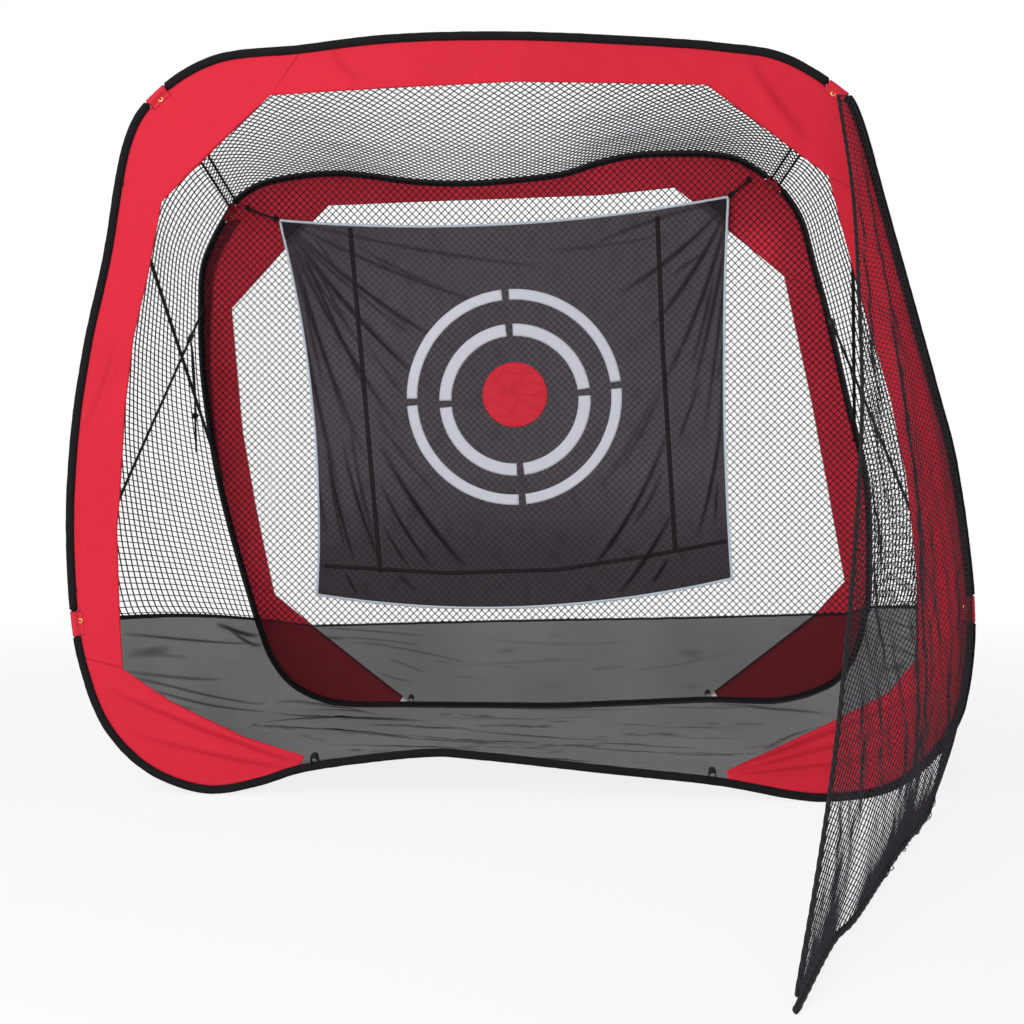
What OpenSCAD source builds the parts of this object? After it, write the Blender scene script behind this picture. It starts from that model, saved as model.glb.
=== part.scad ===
// Pop-up chipping cage: two spring-wire hoops in fabric sleeves, netting between them,
// a hanging ring target and a side wing net.
// Millimetres, +Z up. The origin is on the ground at the centre of the footprint and the
// open mouth faces -Y.

/* [Cage] */
// Distance between the planes of the front and rear hoops
tunnel_depth = 1280; // [1150:10:1400]
// How far the wing net's tip stands in front of the front hoop
wing_reach = 1395; // [1300:5:1450]
// How far the side nets bow outwards halfway along the tunnel
side_bow = 60; // [50:5:80]

/* [Hoops] */
// Radius of the spring wire
wire_r = 2.5; // [2:0.25:3]
// Outer radius of the fabric sleeve
sleeve_r = 12; // [11:0.5:13]
// Inner radius of the fabric sleeve
sleeve_bore_r = 7.5; // [7:0.5:9]
// Length of bare wire at each corner tab
tab_gap = 60; // [58:1:64]

/* [Fabric] */
// Thickness of the coloured border panels
border_t = 1.5; // [1:0.1:1.8]
// Thickness of the sheer lower fabric
sheer_t = 1.5; // [1:0.1:2]
// Thickness of the netting
net_t = 3; // [2:0.5:3]
// Width of one gap in the back net
gap_w = 250; // [220:5:300]
// Height of one gap in the back net
gap_h = 190; // [170:5:240]
// Width of the net left between two gaps, measured across and up
net_bar = 34; // [24:2:44]

/* [Target] */
// Radius of the outer ring
ring_r = 385; // [370:1:390]
// Radius of the inner ring
inner_ring_r = 271; // [260:1:280]
// Width of the outer ring's tape
ring_w = 38; // [34:1:42]
// Width of the inner ring's tape
inner_ring_w = 44; // [38:1:46]
// Radius of the bullseye
bullseye_r = 116; // [90:1:125]
// Thickness of the sewn-on rings
ring_t = 0.8; // [0.6:0.1:1.2]
// Radius of the piping round the target
piping_r = 5; // [4:0.5:5]

/* [Fittings] */
// Radius of the hole in an eyelet
eyelet_hole_r = 3.5; // [2.5:0.1:3.7]
// Width of the tension straps that fall towards the back
strap_w = 11; // [9:1:14]
// Width of the tension straps that carry the sliders
slider_strap_w = 9; // [7:1:11]
// Thickness of the strap webbing
strap_t = 1.5; // [1:0.1:1.6]
// Length of a slider along its strap
slider_len = 34; // [28:1:40]
// Radius of the cord that hangs from the left slider
tail_r = 2.6; // [1.5:0.1:3]

/* [Hidden] */

black = "#262427";
red = "#d5304a";
deep_red = "#a82338";
mesh_grey = "#4a4648";
sheer_grey = "#6c676a";
ice_blue = "#c9dbe6";
ring_white = "#d0d2dc";
brass = "#b79a5b";

// Hoop outlines in the hoop's own plane, [x, z], clockwise as seen from the mouth, both
// starting at the middle of the bottom
front_points = [
    [-85, 116], [-250, 122], [-550, 83], [-700, 38], [-825, 16], [-940, 42],
    [-1037, 100], [-1116, 193], [-1165, 313], [-1198, 475], [-1208, 740],
    [-1190, 994], [-1151, 1229], [-1096, 1459], [-1038, 1756], [-955, 1887],
    [-795, 1980], [-570, 2003], [-315, 2028], [0, 2030], [345, 2011], [545, 1993],
    [700, 1965], [842, 1881], [897, 1808], [973, 1551], [1100, 1111], [1160, 880],
    [1207, 527], [1192, 290], [1146, 177], [1075, 92], [985, 37], [855, 15],
    [745, 20], [541, 55], [240, 84]
];
rear_points = [
    [105, 15], [-95, 14], [-435, 14], [-655, 14], [-770, 33], [-873, 87],
    [-943, 175], [-985, 280], [-1022, 400], [-1100, 680], [-1150, 910],
    [-1190, 1210], [-1196, 1455], [-1180, 1625], [-1095, 1795], [-1040, 1860],
    [-930, 1910], [-695, 1934], [-415, 1902], [-245, 1894], [-105, 1900],
    [105, 1922], [247, 1963], [375, 1987], [512, 1992], [647, 1987], [750, 1962],
    [862, 1887], [919, 1823], [965, 1739], [1005, 1594], [1052, 1428],
    [1130, 1106], [1200, 814], [1211, 449], [1198, 342], [1171, 230],
    [1105, 121], [1002, 66], [888, 40], [770, 39], [641, 41], [382, 28]
];
// Both hoops stand on the ground at their lowest
front_outline = stood(front_points);
rear_outline = stood(rear_points);
// Places along an outline count its points: 9.5 is halfway from point 9 to point 10
front_tab_places = [9, 15, 23, 28];
rear_tab_places = [14, 27];
front_loop_places = [1.95, 35.05];
rear_loop_places = [2, 41];

// Border panels: where each starts and ends along the outline, and its inner edge
front_panels = [
    [2.14, 8.4, [[-570, 110], [-736, 161], [-936, 255], [-1067, 344]]],
    [8.4, 13.46, [[-1067, 344], [-1079, 724], [-1052, 1048], [-1025, 1242], [-985, 1407],
                  [-947, 1604]]],
    [13.46, 17, [[-947, 1604], [-650, 1883]]],
    [17, 24.87, [[-650, 1883], [-11, 1909], [505, 1895], [821, 1654]]],
    [24.87, 28.83, [[821, 1654], [902, 1365], [991, 1072], [1033, 874], [1066, 600],
                    [1065, 384]]],
    [28.83, 34.88, [[1065, 384], [993, 293], [870, 228], [570, 82]]]
];
rear_panels = [
    [2.15, 8.2, [[-465, 42], [-783, 290], [-933, 414]]],
    [8.2, 11.85, [[-933, 414], [-1004, 746], [-1046, 1001], [-1083, 1453]]],
    [11.85, 17.1, [[-1083, 1453], [-898, 1653], [-726, 1820]]],
    [17.1, 23.45, [[-726, 1820], [247, 1847], [513, 1872]]],
    [23.45, 30.5, [[513, 1872], [900, 1556]]],
    [30.5, 34.05, [[900, 1556], [1003, 1106], [1126, 471]]],
    [34.05, 40.8, [[1126, 471], [1017, 348], [663, 70]]]
];

// Tunnel sheets: [front start, front end], [rear start, rear end] along the outlines,
// how closely the start and the end lie on the ground, and the bow at the middle
bottom_left = [5.5, 5.5];
skirt_left = [9, 7.45];
top_left = [15, 14];
top_right = [23, 27];
skirt_right = [28, 34.5];
bottom_right = [31.5, 37.4];
back_seam = [[-783, 300], [-96, 322], [575, 337], [1131, 356]];

// The target hangs square to the tunnel: its corners, [x, z], and how far each edge bows
target_tl = [-897, 1761];
target_tr = [697, 1831];
target_br = [720, 482];
target_bl = [-772, 417];
top_sag = [0, -54];
right_bow = [-21, 0];
bottom_sag = [0, -74];
left_bow = [52, 0];
ring_centre = [-55, 1119];
bullseye_centre = ring_centre + [0, 18];
outer_centre = ring_centre + [-3, 9];
// Gap between two arcs of a ring, and how far the four gaps are turned from the axes
ring_gap = 22;
ring_turn = 4.5;
tie_left = [-1025, 1813];
tie_right = [777, 1898];
target_back = 36;
tie_back = 18;
tie_r = 3;
sheet_t = 2;

// The wing's edge ropes, measured from the front hoop's plane
lead_route = [
    [840, -32, 1858], [865, -110, 1590], [850, -280, 1290], [824, -450, 1045],
    [775, -650, 800], [720, -845, 580], [660, -1040, 365], [600, -1210, 190],
    [535, -1384, 26]
];
ground_route = [
    [1138, -32, 160], [1095, -95, 60], [1047, -187, 12], [911, -480, 7],
    [729, -916, 7], [651, -1072, 7], [531, -1397, 7]
];
nominal_reach = 1395;
lead_r = 5;
ground_r = 7;
wing_fold = 16;
wing_folds = 2.5;
// Share of the ground rope that the net is sewn along
wing_foot = 0.985;
// Room between the wing's net and the middle of its ropes, past their radius
net_room = 7;

// Straps run between places on the two outlines
left_strap_places = [13.63, 9.7];
right_strap_places = [24, 32.45];
left_slider_places = [9.35, 12];
right_slider_places = [28.3, 30.45];
// Share of a slider strap, from the rear hoop, that is fixed webbing
anchor_share = 0.15;
slider_share = 0.135;
strap_seat = 14;

front_y = (wing_reach - tunnel_depth + ground_r - sleeve_r) / 2;
rear_y = front_y + tunnel_depth;
seam_gap = 1.6;
tab_len = tab_gap - 4;
tab_bore_r = wire_r + 0.7;
tab_r = wire_r + 3;
lug_t = 2;
lug_reach = 24;
eyelet_reach = 15;
flange_r = 6.8;
flange_t = 0.8;
barrel_r = eyelet_hole_r + 0.9;
floor_lift = 1.8;
front_rise = 0.65;
rear_rise = 0.15;
tape_half = 17;
skirt_tape_half = 6;
// Room left between a tape and the cloths beside it
tape_play = 7;
net_fill = 0.84;
// How far in front of the rear hoop's plane the cloth of the back begins
back_seat = 7;
seam_half = 5;
ferrule_play = 0.6;
ferrule_wall = 1.8;

// ---------- Points and curves ----------

function lerp(a, b, t) = a + (b - a) * t;
function unit(v) = v / norm(v);
function wrap(p, i) = p[(i + len(p)) % len(p)];

// A smooth closed curve through the points of p, at place s
function curve(p, s) =
    let (i = floor(s), t = s - i)
    let (a = wrap(p, i - 1), b = wrap(p, i), c = wrap(p, i + 1), d = wrap(p, i + 2))
    0.5 * (2 * b + (c - a) * t + (2 * a - 5 * b + 4 * c - d) * t * t
           + (3 * b - a - 3 * c + d) * t * t * t);

// The same through an open run of points, from place 0 to the last
function open_curve(p, s) =
    let (last = len(p) - 1, i = min(floor(s), last - 1), t = s - i)
    let (b = p[i], c = p[i + 1])
    let (a = i > 0 ? p[i - 1] : 2 * b - c, d = i + 2 <= last ? p[i + 2] : 2 * c - b)
    0.5 * (2 * b + (c - a) * t + (2 * a - 5 * b + 4 * c - d) * t * t
           + (3 * b - a - 3 * c + d) * t * t * t);
// An outline moved up or down until the sleeve round it just touches the ground
function stood(p) =
    let (low = min([for (k = [0 : 2 * len(p) - 1]) curve(p, k / 2)[1]]))
    [for (q = p) q + [0, sleeve_r - low]];
function swept(route, parts) = [for (i = [0 : (len(route) - 1) * parts]) open_curve(route, i / parts)];

// Unit vector along an outline, and the one pointing into the hoop
function heading(p, s) = unit(curve(p, s + 0.02) - curve(p, s - 0.02));
function inwards(p, s) = let (h = heading(p, s)) [h[1], -h[0]];
function inset(p, s, d) = curve(p, s) + d * inwards(p, s);

// Places between two marks: half steps, with `gaps` millimetres left out at each end
function places(p, from, to, gaps) =
    let (first = floor(from), last = ceil(to) - 1)
    let (start = from + gaps[0] / norm(wrap(p, first + 1) - wrap(p, first)))
    let (end = to - gaps[1] / norm(wrap(p, last + 1) - wrap(p, last)))
    concat([start], [for (k = [ceil(start * 2 + 0.01) : floor(end * 2 - 0.01)]) k / 2], [end]);

// Running length along a row of points, and the point at a share of the whole
function run_lengths(p) = [
    for (i = 0, sum = 0; i < len(p);
         sum = sum + (i + 1 < len(p) ? norm(p[i + 1] - p[i]) : 0), i = i + 1) sum
];
function point_at(p, share) =
    let (sums = run_lengths(p), total = sums[len(sums) - 1])
    let (at = lookup(share * total, [for (i = [0 : len(p) - 1]) [sums[i], i]]))
    let (i = min(floor(at), len(p) - 2))
    lerp(p[i], p[i + 1], at - i);

function in_plane(p, y) = [p[0], y, p[1]];
function edge_point(a, b, bow, t) = lerp(a, b, t) + 4 * t * (1 - t) * bow;

// The patch between two bowed sides, two bowed ends and their four corners
function patch(tl, tr, br, bl, u, v) =
    let (top = edge_point(tl, tr, top_sag, u), bottom = edge_point(bl, br, bottom_sag, u))
    let (left = edge_point(tl, bl, left_bow, v), right = edge_point(tr, br, right_bow, v))
    lerp(top, bottom, v) + lerp(left, right, u) - lerp(lerp(tl, tr, u), lerp(bl, br, u), v);

// ---------- Solids from triangles ----------

function quad(a, b, c, d) = [[a, b, c], [a, c, d]];

module solid(tris)
    polyhedron([for (t = tris) each t], [for (k = [0 : len(tris) - 1]) [3 * k, 3 * k + 1, 3 * k + 2]]);

// One ring of a tube at point i of a route; `across` is square to the route at both ends
function ring(route, i, across, r, sides) =
    let (n = len(route) - 1, t = unit(route[min(i + 1, n)] - route[max(i - 1, 0)]))
    let (u = unit(cross(across, t)), v = cross(t, u))
    [for (k = [0 : sides - 1]) let (a = 360 * (k + 0.5) / sides + 180 / sides)
        route[i] + r * (cos(a) * u + sin(a) * v)];
function skin(rings, out) = [
    for (i = [0 : len(rings) - 2], k = [0 : len(rings[0]) - 1])
        let (m = (k + 1) % len(rings[0]), a = rings[i], b = rings[i + 1])
        each out ? quad(a[k], b[k], b[m], a[m]) : quad(a[k], a[m], b[m], b[k])
];

module rod(route, across, r, sides) {
    rings = [for (i = [0 : len(route) - 1]) ring(route, i, across, r, sides)];
    end = rings[len(rings) - 1];
    solid(concat(
        skin(rings, true),
        [for (k = [1 : sides - 2]) [rings[0][0], rings[0][k], rings[0][k + 1]]],
        [for (k = [1 : sides - 2]) [end[0], end[k + 1], end[k]]]
    ));
}

module pipe(route, across, r, bore, sides) {
    outer = [for (i = [0 : len(route) - 1]) ring(route, i, across, r, sides)];
    inner = [for (i = [0 : len(route) - 1]) ring(route, i, across, bore, sides)];
    last = len(route) - 1;
    solid(concat(
        skin(outer, true),
        skin(inner, false),
        skin([outer[0], inner[0]], false),
        skin([outer[last], inner[last]], true)
    ));
}

// A closed sheet from two grids of points, rows running along u and columns along v
module sheet(top, bottom) {
    n = len(top) - 1;
    m = len(top[0]) - 1;
    solid(concat(
        [for (i = [0 : n - 1], j = [0 : m - 1])
            each quad(top[i][j], top[i][j + 1], top[i + 1][j + 1], top[i + 1][j])],
        [for (i = [0 : n - 1], j = [0 : m - 1])
            each quad(bottom[i][j], bottom[i + 1][j], bottom[i + 1][j + 1], bottom[i][j + 1])],
        [for (i = [0 : n - 1]) each quad(top[i][0], top[i + 1][0], bottom[i + 1][0], bottom[i][0])],
        [for (i = [0 : n - 1]) each quad(top[i + 1][m], top[i][m], bottom[i][m], bottom[i + 1][m])],
        [for (j = [0 : m - 1]) each quad(top[0][j + 1], top[0][j], bottom[0][j], bottom[0][j + 1])],
        [for (j = [0 : m - 1]) each quad(top[n][j], top[n][j + 1], bottom[n][j + 1], bottom[n][j])]
    ));
}

// The corners of the diamond round grid point [i, j], clockwise, clipped to the grid
function diamond(i, j, n, m) = [
    [min(i + 1, n), j], [i, max(j - 1, 0)], [max(i - 1, 0), j], [i, min(j + 1, m)]
];
function shrunk(corners) =
    let (middle = (corners[0] + corners[1] + corners[2] + corners[3]) / 4)
    [for (c = corners) lerp(middle, c, net_fill)];

// A net: the same sheet with a diamond gap round every odd point of the grid
module net(top, bottom) {
    n = len(top) - 1;
    m = len(top[0]) - 1;
    solid([
        for (i = [0 : n], j = [0 : m]) if ((i + j) % 2 == 1)
            let (at = diamond(i, j, n, m))
            let (a = [for (p = at) top[p[0]][p[1]]], b = [for (p = at) bottom[p[0]][p[1]]])
            let (c = shrunk(a), d = shrunk(b))
            for (k = [0 : 3]) let (q = (k + 1) % 4) each concat(
                quad(a[k], a[q], c[q], c[k]),
                quad(b[k], d[k], d[q], b[q]),
                quad(c[k], c[q], d[q], d[k]),
                at[k] == [i, j] || at[q] == [i, j] ? quad(a[q], a[k], b[k], b[q]) : []
            )
    ]);
}

// An outline drawn in a hoop's plane, from depth y back to y + t
module plate(y, t)
    translate([0, y + t, 0]) rotate([90, 0, 0]) linear_extrude(t) children();

// Children drawn about the origin, moved to a place on an outline and turned along it
module at_place(p, s) {
    h = heading(p, s);
    translate(curve(p, s)) rotate(atan2(h[1], h[0])) children();
}

// ---------- Hoops ----------

function wire_places(p, tabs) =
    let (n = len(tabs), marks = concat([0.01], tabs, [len(p) - 0.01]))
    [for (i = [0 : n]) each concat(
        i > 0 ? [marks[i]] : [],
        places(p, marks[i], marks[i + 1], [i > 0 ? tab_gap / 2 : 0, i < n ? tab_gap / 2 : 0]))];

module hoop_wire(p, y, tabs)
    rod([for (s = wire_places(p, tabs)) in_plane(curve(p, s), y)], [0, 1, 0], wire_r, 6);

module ferrule(p, y)
    pipe([for (s = [-0.12, 0.12]) in_plane(curve(p, s), y)], [0, 1, 0], wire_r + ferrule_play + ferrule_wall,
         wire_r + ferrule_play, 8);

module sleeve(p, y, from, to)
    pipe([for (s = places(p, from, to, [tab_gap / 2, tab_gap / 2])) in_plane(curve(p, s), y)],
         [0, 1, 0], sleeve_r, sleeve_bore_r, 8);

module border_panel(p, y, panel, tabs)
    plate(y - border_t * 2 / 3, border_t)
        difference() {
            polygon(concat(
                [for (s = places(p, panel[0], panel[1], [0, 0])) inset(p, s, sleeve_r + seam_gap)],
                [for (i = [len(panel[2]) - 1 : -1 : 0]) panel[2][i]]
            ));
            for (s = tabs)
                at_place(p, s)
                    square([tab_len + 2, 2 * lug_reach + 2], center = true);
        }

// A webbing tab folded round the bare wire, its lug lying into the hoop
module tab(p, y, s) {
    half = tab_len / 2 / norm(wrap(p, floor(s) + 1) - wrap(p, floor(s)));
    half_before = tab_len / 2 / norm(wrap(p, floor(s)) - wrap(p, floor(s) - 1));
    pipe([for (q = [s - half_before, s, s + half]) in_plane(curve(p, q), y)],
         [0, 1, 0], tab_r, tab_bore_r, 8);
    plate(y - lug_t / 2, lug_t)
        at_place(p, s)
            translate([-tab_len / 2 + 4, -lug_reach])
                difference() {
                    square([tab_len - 8, lug_reach - tab_r - 0.2]);
                    translate([tab_len / 2 - 4, lug_reach - eyelet_reach])
                        circle(barrel_r + 0.2, $fn = 40);
                }
}

// A rolled metal eyelet: a barrel with a flange on both faces of the lug
module eyelet(p, y, s) {
    c = inset(p, s, eyelet_reach);
    translate([c[0], y, c[1]])
        rotate([90, 0, 0])
            rotate_extrude($fn = 48)
                difference() {
                    translate([eyelet_hole_r, -lug_t / 2 - flange_t])
                        square([flange_r - eyelet_hole_r, lug_t + 2 * flange_t]);
                    translate([barrel_r, -lug_t / 2 - 0.05])
                        square([flange_r, lug_t + 0.1]);
                }
}

// A webbing arch that stands on the sleeve for a ground peg to pass through
module peg_loop(p, y, s, depth) {
    arch_w = 30;
    arch_h = 26;
    web = 3;
    plate(y, depth)
        at_place(p, s)
            rotate(180)
                translate([0, sleeve_r + 0.2])
                    difference() {
                        union() {
                            translate([-arch_w / 2, 0]) square([arch_w, arch_h - arch_w / 2]);
                            translate([0, arch_h - arch_w / 2]) circle(arch_w / 2, $fn = 48);
                        }
                        translate([-arch_w / 2 + web, -web]) square([arch_w - 2 * web, arch_h - arch_w / 2]);
                        translate([0, arch_h - arch_w / 2 - web]) circle(arch_w / 2 - web, $fn = 48);
                        translate([-arch_w, -arch_w]) square([2 * arch_w, arch_w]);
                    }
}

// ---------- Tunnel ----------

// A point of a sheet that runs from one hoop to the other. `lie` says how much its start
// and end lie on the ground, `bow` how far its middle moves
function tunnel_point(front, rear, lie, bow, u, v) =
    let (f = point_at(front, u), r = point_at(rear, u), ground = sheer_t / 2 + floor_lift)
    let (taut = lerp(f, r, v), amount = pow(lerp(lie[0], lie[1], u), 2))
    let (rise = (f[1] - ground) * pow(max(0, 1 - v / front_rise), 2)
              + (r[1] - ground) * pow(max(0, 1 - (1 - v) / rear_rise), 2))
    let (swell = sin(180 * v) * sqrt(max(0, sin(180 * u))))
    [
        taut[0] + bow[0] * swell,
        lerp(front_y + sleeve_r + 2, rear_y - sleeve_r - 2, v),
        lerp(taut[1], ground + rise, amount) + bow[1] * swell
    ];

// The grid of points of a tunnel sheet between two marks, moved along `shift`
function tunnel_grid(from, to, gaps, lie, bow, n, m, shift) =
    let (front = [for (s = places(front_outline, from[0], to[0], gaps)) curve(front_outline, s)])
    let (rear = [for (s = places(rear_outline, from[1], to[1], gaps)) curve(rear_outline, s)])
    [for (i = [0 : n]) [for (j = [0 : m])
        tunnel_point(front, rear, lie, bow, i / n, j / m) + shift]];

module sheer_sheet(from, to, gaps, lie, bow, n, out) {
    m = 12;
    sheet(tunnel_grid(from, to, gaps, lie, bow, n, m, out * sheer_t / 2),
          tunnel_grid(from, to, gaps, lie, bow, n, m, -out * sheer_t / 2));
}

module tunnel_net(from, to, bow, n, m, out) {
    gaps = [tape_half + tape_play, tape_half + tape_play];
    net(tunnel_grid(from, to, gaps, [0, 0], bow, n, m, out * net_t / 2),
        tunnel_grid(from, to, gaps, [0, 0], bow, n, m, -out * net_t / 2));
}

// A narrow tape along the tunnel, centred on a mark
module tunnel_tape(mark, half, out) {
    front = [for (d = [-half, half]) curve(front_outline, mark[0]) + d * heading(front_outline, mark[0])];
    rear = [for (d = [-half, half]) curve(rear_outline, mark[1]) + d * heading(rear_outline, mark[1])];
    grid = [for (shift = [out * 0.7, -out * 0.7]) [for (i = [0, 1]) [for (j = [0 : 6])
        tunnel_point(front, rear, [0, 0], [0, 0], i, j / 6) + shift]]];
    sheet(grid[0], grid[1]);
}

// The back of the cage above or below its seam, as a plane outline
module back_outline(from, to, upper)
    polygon(concat(
        [for (s = places(rear_outline, from, to, [0, 0])) inset(rear_outline, s, sleeve_r + 1)],
        upper ? [for (i = [len(back_seam) - 1 : -1 : 0]) back_seam[i] + [0, seam_half + 1]]
              : [for (p = back_seam) p - [0, seam_half + 1]]
    ));

// ---------- Straps and sliders ----------

function strap_end(p, s, y, way) = in_plane(inset(p, s, strap_seat), y + way * strap_seat);
function left_line() = [
    strap_end(rear_outline, left_slider_places[1], rear_y, -1),
    strap_end(front_outline, left_slider_places[0], front_y, 1)
];
function right_line() = [
    strap_end(rear_outline, right_slider_places[1], rear_y, -1),
    strap_end(front_outline, right_slider_places[0], front_y, 1)
];

// Children drawn along +Z from the origin, laid along a line; X stays across the strap
module along(line, share) {
    d = unit(line[1] - line[0]);
    n = unit(cross(d, [1, 0, 0]));
    w = cross(n, d);
    at = lerp(line[0], line[1], share);
    multmatrix([
        [w[0], n[0], d[0], at[0]],
        [w[1], n[1], d[1], at[1]],
        [w[2], n[2], d[2], at[2]],
        [0, 0, 0, 1]
    ])
        children();
}

module strap(line, from, to, w)
    along(line, from)
        translate([-w / 2, -strap_t / 2, 0])
            cube([w, strap_t, norm(line[1] - line[0]) * (to - from)]);

// A slider block with a slot for its strap and raised grip bars
module slider(line, w) {
    wall = 3;
    play = 0.8;
    along(line, slider_share)
        translate([0, 0, -slider_len / 2])
            difference() {
                union() {
                    translate([-w / 2 - wall - play, -strap_t / 2 - 2.5 - play, 0])
                        cube([w + 2 * (wall + play), strap_t + 2 * (2.5 + play), slider_len]);
                    for (z = [0.18, 0.5, 0.82])
                        translate([-w / 2 - wall - play - 1.5, -strap_t / 2 - 3.5 - play, slider_len * z - 2])
                            cube([w + 2 * (wall + play) + 3, strap_t + 7 + 2 * play, 4]);
                }
                translate([-w / 2 - play, -strap_t / 2 - play, -1])
                    cube([w + 2 * play, strap_t + 2 * play, slider_len + 2]);
            }
}

// ---------- Front frame ----------

module front_hoop_wire() color("silver") hoop_wire(front_outline, front_y, front_tab_places);
module front_hoop_ferrule() color("silver") ferrule(front_outline, front_y);
module front_sleeve(from, to) color(black) sleeve(front_outline, front_y, from, to);
module front_border(k) color(red) border_panel(front_outline, front_y, front_panels[k], front_tab_places);
module front_tabs() color(red) for (s = front_tab_places) tab(front_outline, front_y, s);
module front_eyelets() color(brass) for (s = front_tab_places) eyelet(front_outline, front_y, s);
module front_peg_loops()
    color(black) for (s = front_loop_places) peg_loop(front_outline, front_y - 10, s, 20);

// ---------- Netting and sheer fabric between the hoops ----------

module top_net() color(mesh_grey) tunnel_net(top_left, top_right, [0, -22], 14, 8, [0, 0, 1]);
module left_net() color(mesh_grey) tunnel_net(skirt_left, top_left, [-side_bow, 0], 14, 8, [-1, 0, 0]);
module right_net() color(mesh_grey) tunnel_net(top_right, skirt_right, [side_bow, 0], 14, 8, [1, 0, 0]);
module left_skirt()
    color(sheer_grey)
        sheer_sheet(bottom_left, skirt_left, [1, skirt_tape_half + tape_play], [1, 0], [-10, 0], 4,
                    [-1, 0, 0]);
module right_skirt()
    color(sheer_grey)
        sheer_sheet(skirt_right, bottom_right, [skirt_tape_half + tape_play, 1], [0, 1], [10, 0], 4,
                    [1, 0, 0]);
module floor_sheet() {
    wrapped = bottom_left + [len(front_outline), len(rear_outline)];
    color(sheer_grey)
        sheer_sheet(bottom_right, wrapped, [1, 1], [1, 1], [0, 0], 16, [0, 0, -1]);
}
module corner_tapes()
    color(black) {
        tunnel_tape(top_left, tape_half, [-0.7, 0, 0.7]);
        tunnel_tape(top_right, tape_half, [0.7, 0, 0.7]);
    }
module skirt_tapes()
    color(black) {
        tunnel_tape(skirt_left, skirt_tape_half, [-1, 0, 0]);
        tunnel_tape(skirt_right, skirt_tape_half, [1, 0, 0]);
    }
module left_strap()
    color(black)
        strap([strap_end(front_outline, left_strap_places[0], front_y, 1),
               strap_end(rear_outline, left_strap_places[1], rear_y, -1)], 0, 1, strap_w);
module right_strap()
    color(black)
        strap([strap_end(front_outline, right_strap_places[0], front_y, 1),
               strap_end(rear_outline, right_strap_places[1], rear_y, -1)], 0, 1, strap_w);
module left_slider_strap() color(black) strap(left_line(), anchor_share, 1, slider_strap_w);
module right_slider_strap() color(black) strap(right_line(), anchor_share, 1, slider_strap_w);

// ---------- Rear frame ----------

module rear_hoop_wire() color("silver") hoop_wire(rear_outline, rear_y, rear_tab_places);
module rear_hoop_ferrule() color("silver") ferrule(rear_outline, rear_y);
module rear_sleeve(from, to) color(black) sleeve(rear_outline, rear_y, from, to);
module rear_border(k) color(deep_red) border_panel(rear_outline, rear_y, rear_panels[k], rear_tab_places);
module rear_tabs() color(deep_red) for (s = rear_tab_places) tab(rear_outline, rear_y, s);
module rear_eyelets() color(brass) for (s = rear_tab_places) eyelet(rear_outline, rear_y, s);
module rear_peg_loops()
    color(black) for (s = rear_loop_places) peg_loop(rear_outline, rear_y - 4, s, 14);
module back_net()
    color(mesh_grey)
        plate(rear_y - back_seat, net_t)
            difference() {
                back_outline(skirt_left[1] + 0.1, skirt_right[1] - 0.1, true);
                intersection() {
                    offset(delta = -net_bar / 2)
                        back_outline(skirt_left[1] + 0.1, skirt_right[1] - 0.1, true);
                    for (i = [-6 : 6], j = [1 : 18])
                        translate([(i + (j % 2) / 2) * gap_w, j * gap_h / 2 + 200])
                            polygon([
                                [-gap_w / 2 + net_bar / 2, 0], [0, gap_h / 2 - net_bar / 2],
                                [gap_w / 2 - net_bar / 2, 0], [0, -gap_h / 2 + net_bar / 2]
                            ]);
                }
            }
module back_skirt()
    color(sheer_grey)
        plate(rear_y - back_seat, sheer_t)
            back_outline(skirt_right[1] + 0.1, skirt_left[1] + len(rear_outline) - 0.1, false);
module back_seam_tape()
    color(black)
        plate(rear_y - back_seat, sheer_t)
            polygon(concat(
                [for (p = back_seam) p + [0, seam_half]],
                [for (i = [len(back_seam) - 1 : -1 : 0]) back_seam[i] - [0, seam_half]]
            ));
module left_slider_anchor() color(black) strap(left_line(), 0, anchor_share - 0.001, slider_strap_w);
module right_slider_anchor() color(black) strap(right_line(), 0, anchor_share - 0.001, slider_strap_w);

// ---------- Sliders ----------

module left_slider() color(black) slider(left_line(), slider_strap_w);
module right_slider() color(black) slider(right_line(), slider_strap_w);

// The free end of the left slider's cord, from its knot under the slider to its tip
module left_tail_cord() {
    start = lerp(left_line()[0], left_line()[1], slider_share) - [0, 0, 14];
    route = [for (p = [[0, 0, 0], [2, -3, -54], [0, 2, -162], [3, -2, -279], [8, 0, -388]]) start + p];
    color(black) rod(swept(route, 9), [0, 1, 0], tail_r, 8);
}

// ---------- Target ----------

target_y = rear_y - target_back;
face_y = target_y - sheet_t / 2;

module target_sheet() {
    d = piping_r + 3;
    corners = [target_tl + [d, -d], target_tr + [-d, -d], target_br + [-d, d], target_bl + [d, d]];
    grids = [for (side = [-1, 1]) [for (i = [0 : 14]) [for (j = [0 : 12])
        let (p = patch(corners[0], corners[1], corners[2], corners[3], i / 14, j / 12))
        in_plane(p, target_y + side * sheet_t / 2)]]];
    color(mesh_grey) sheet(grids[1], grids[0]);
}
module target_piping() {
    top = [for (i = [0 : 8]) edge_point(target_tl, target_tr, top_sag, i / 8)];
    right = [for (i = [0 : 8]) edge_point(target_tr, target_br, right_bow, i / 8)];
    bottom = [for (i = [0 : 8]) edge_point(target_br, target_bl, bottom_sag, i / 8)];
    left = [for (i = [0 : 8]) edge_point(target_bl, target_tl, left_bow, i / 8)];
    color(ice_blue)
        for (edge = [top, right, bottom, left])
            rod([for (i = [0 : 8])
                    let (slack = i == 0 ? 0.045 : i == 8 ? -0.045 : 0)
                    in_plane(lerp(edge[i], edge[max(0, min(8, i + sign(slack)))], abs(slack)), target_y)],
                [0, 1, 0], piping_r, 6);
}
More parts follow.
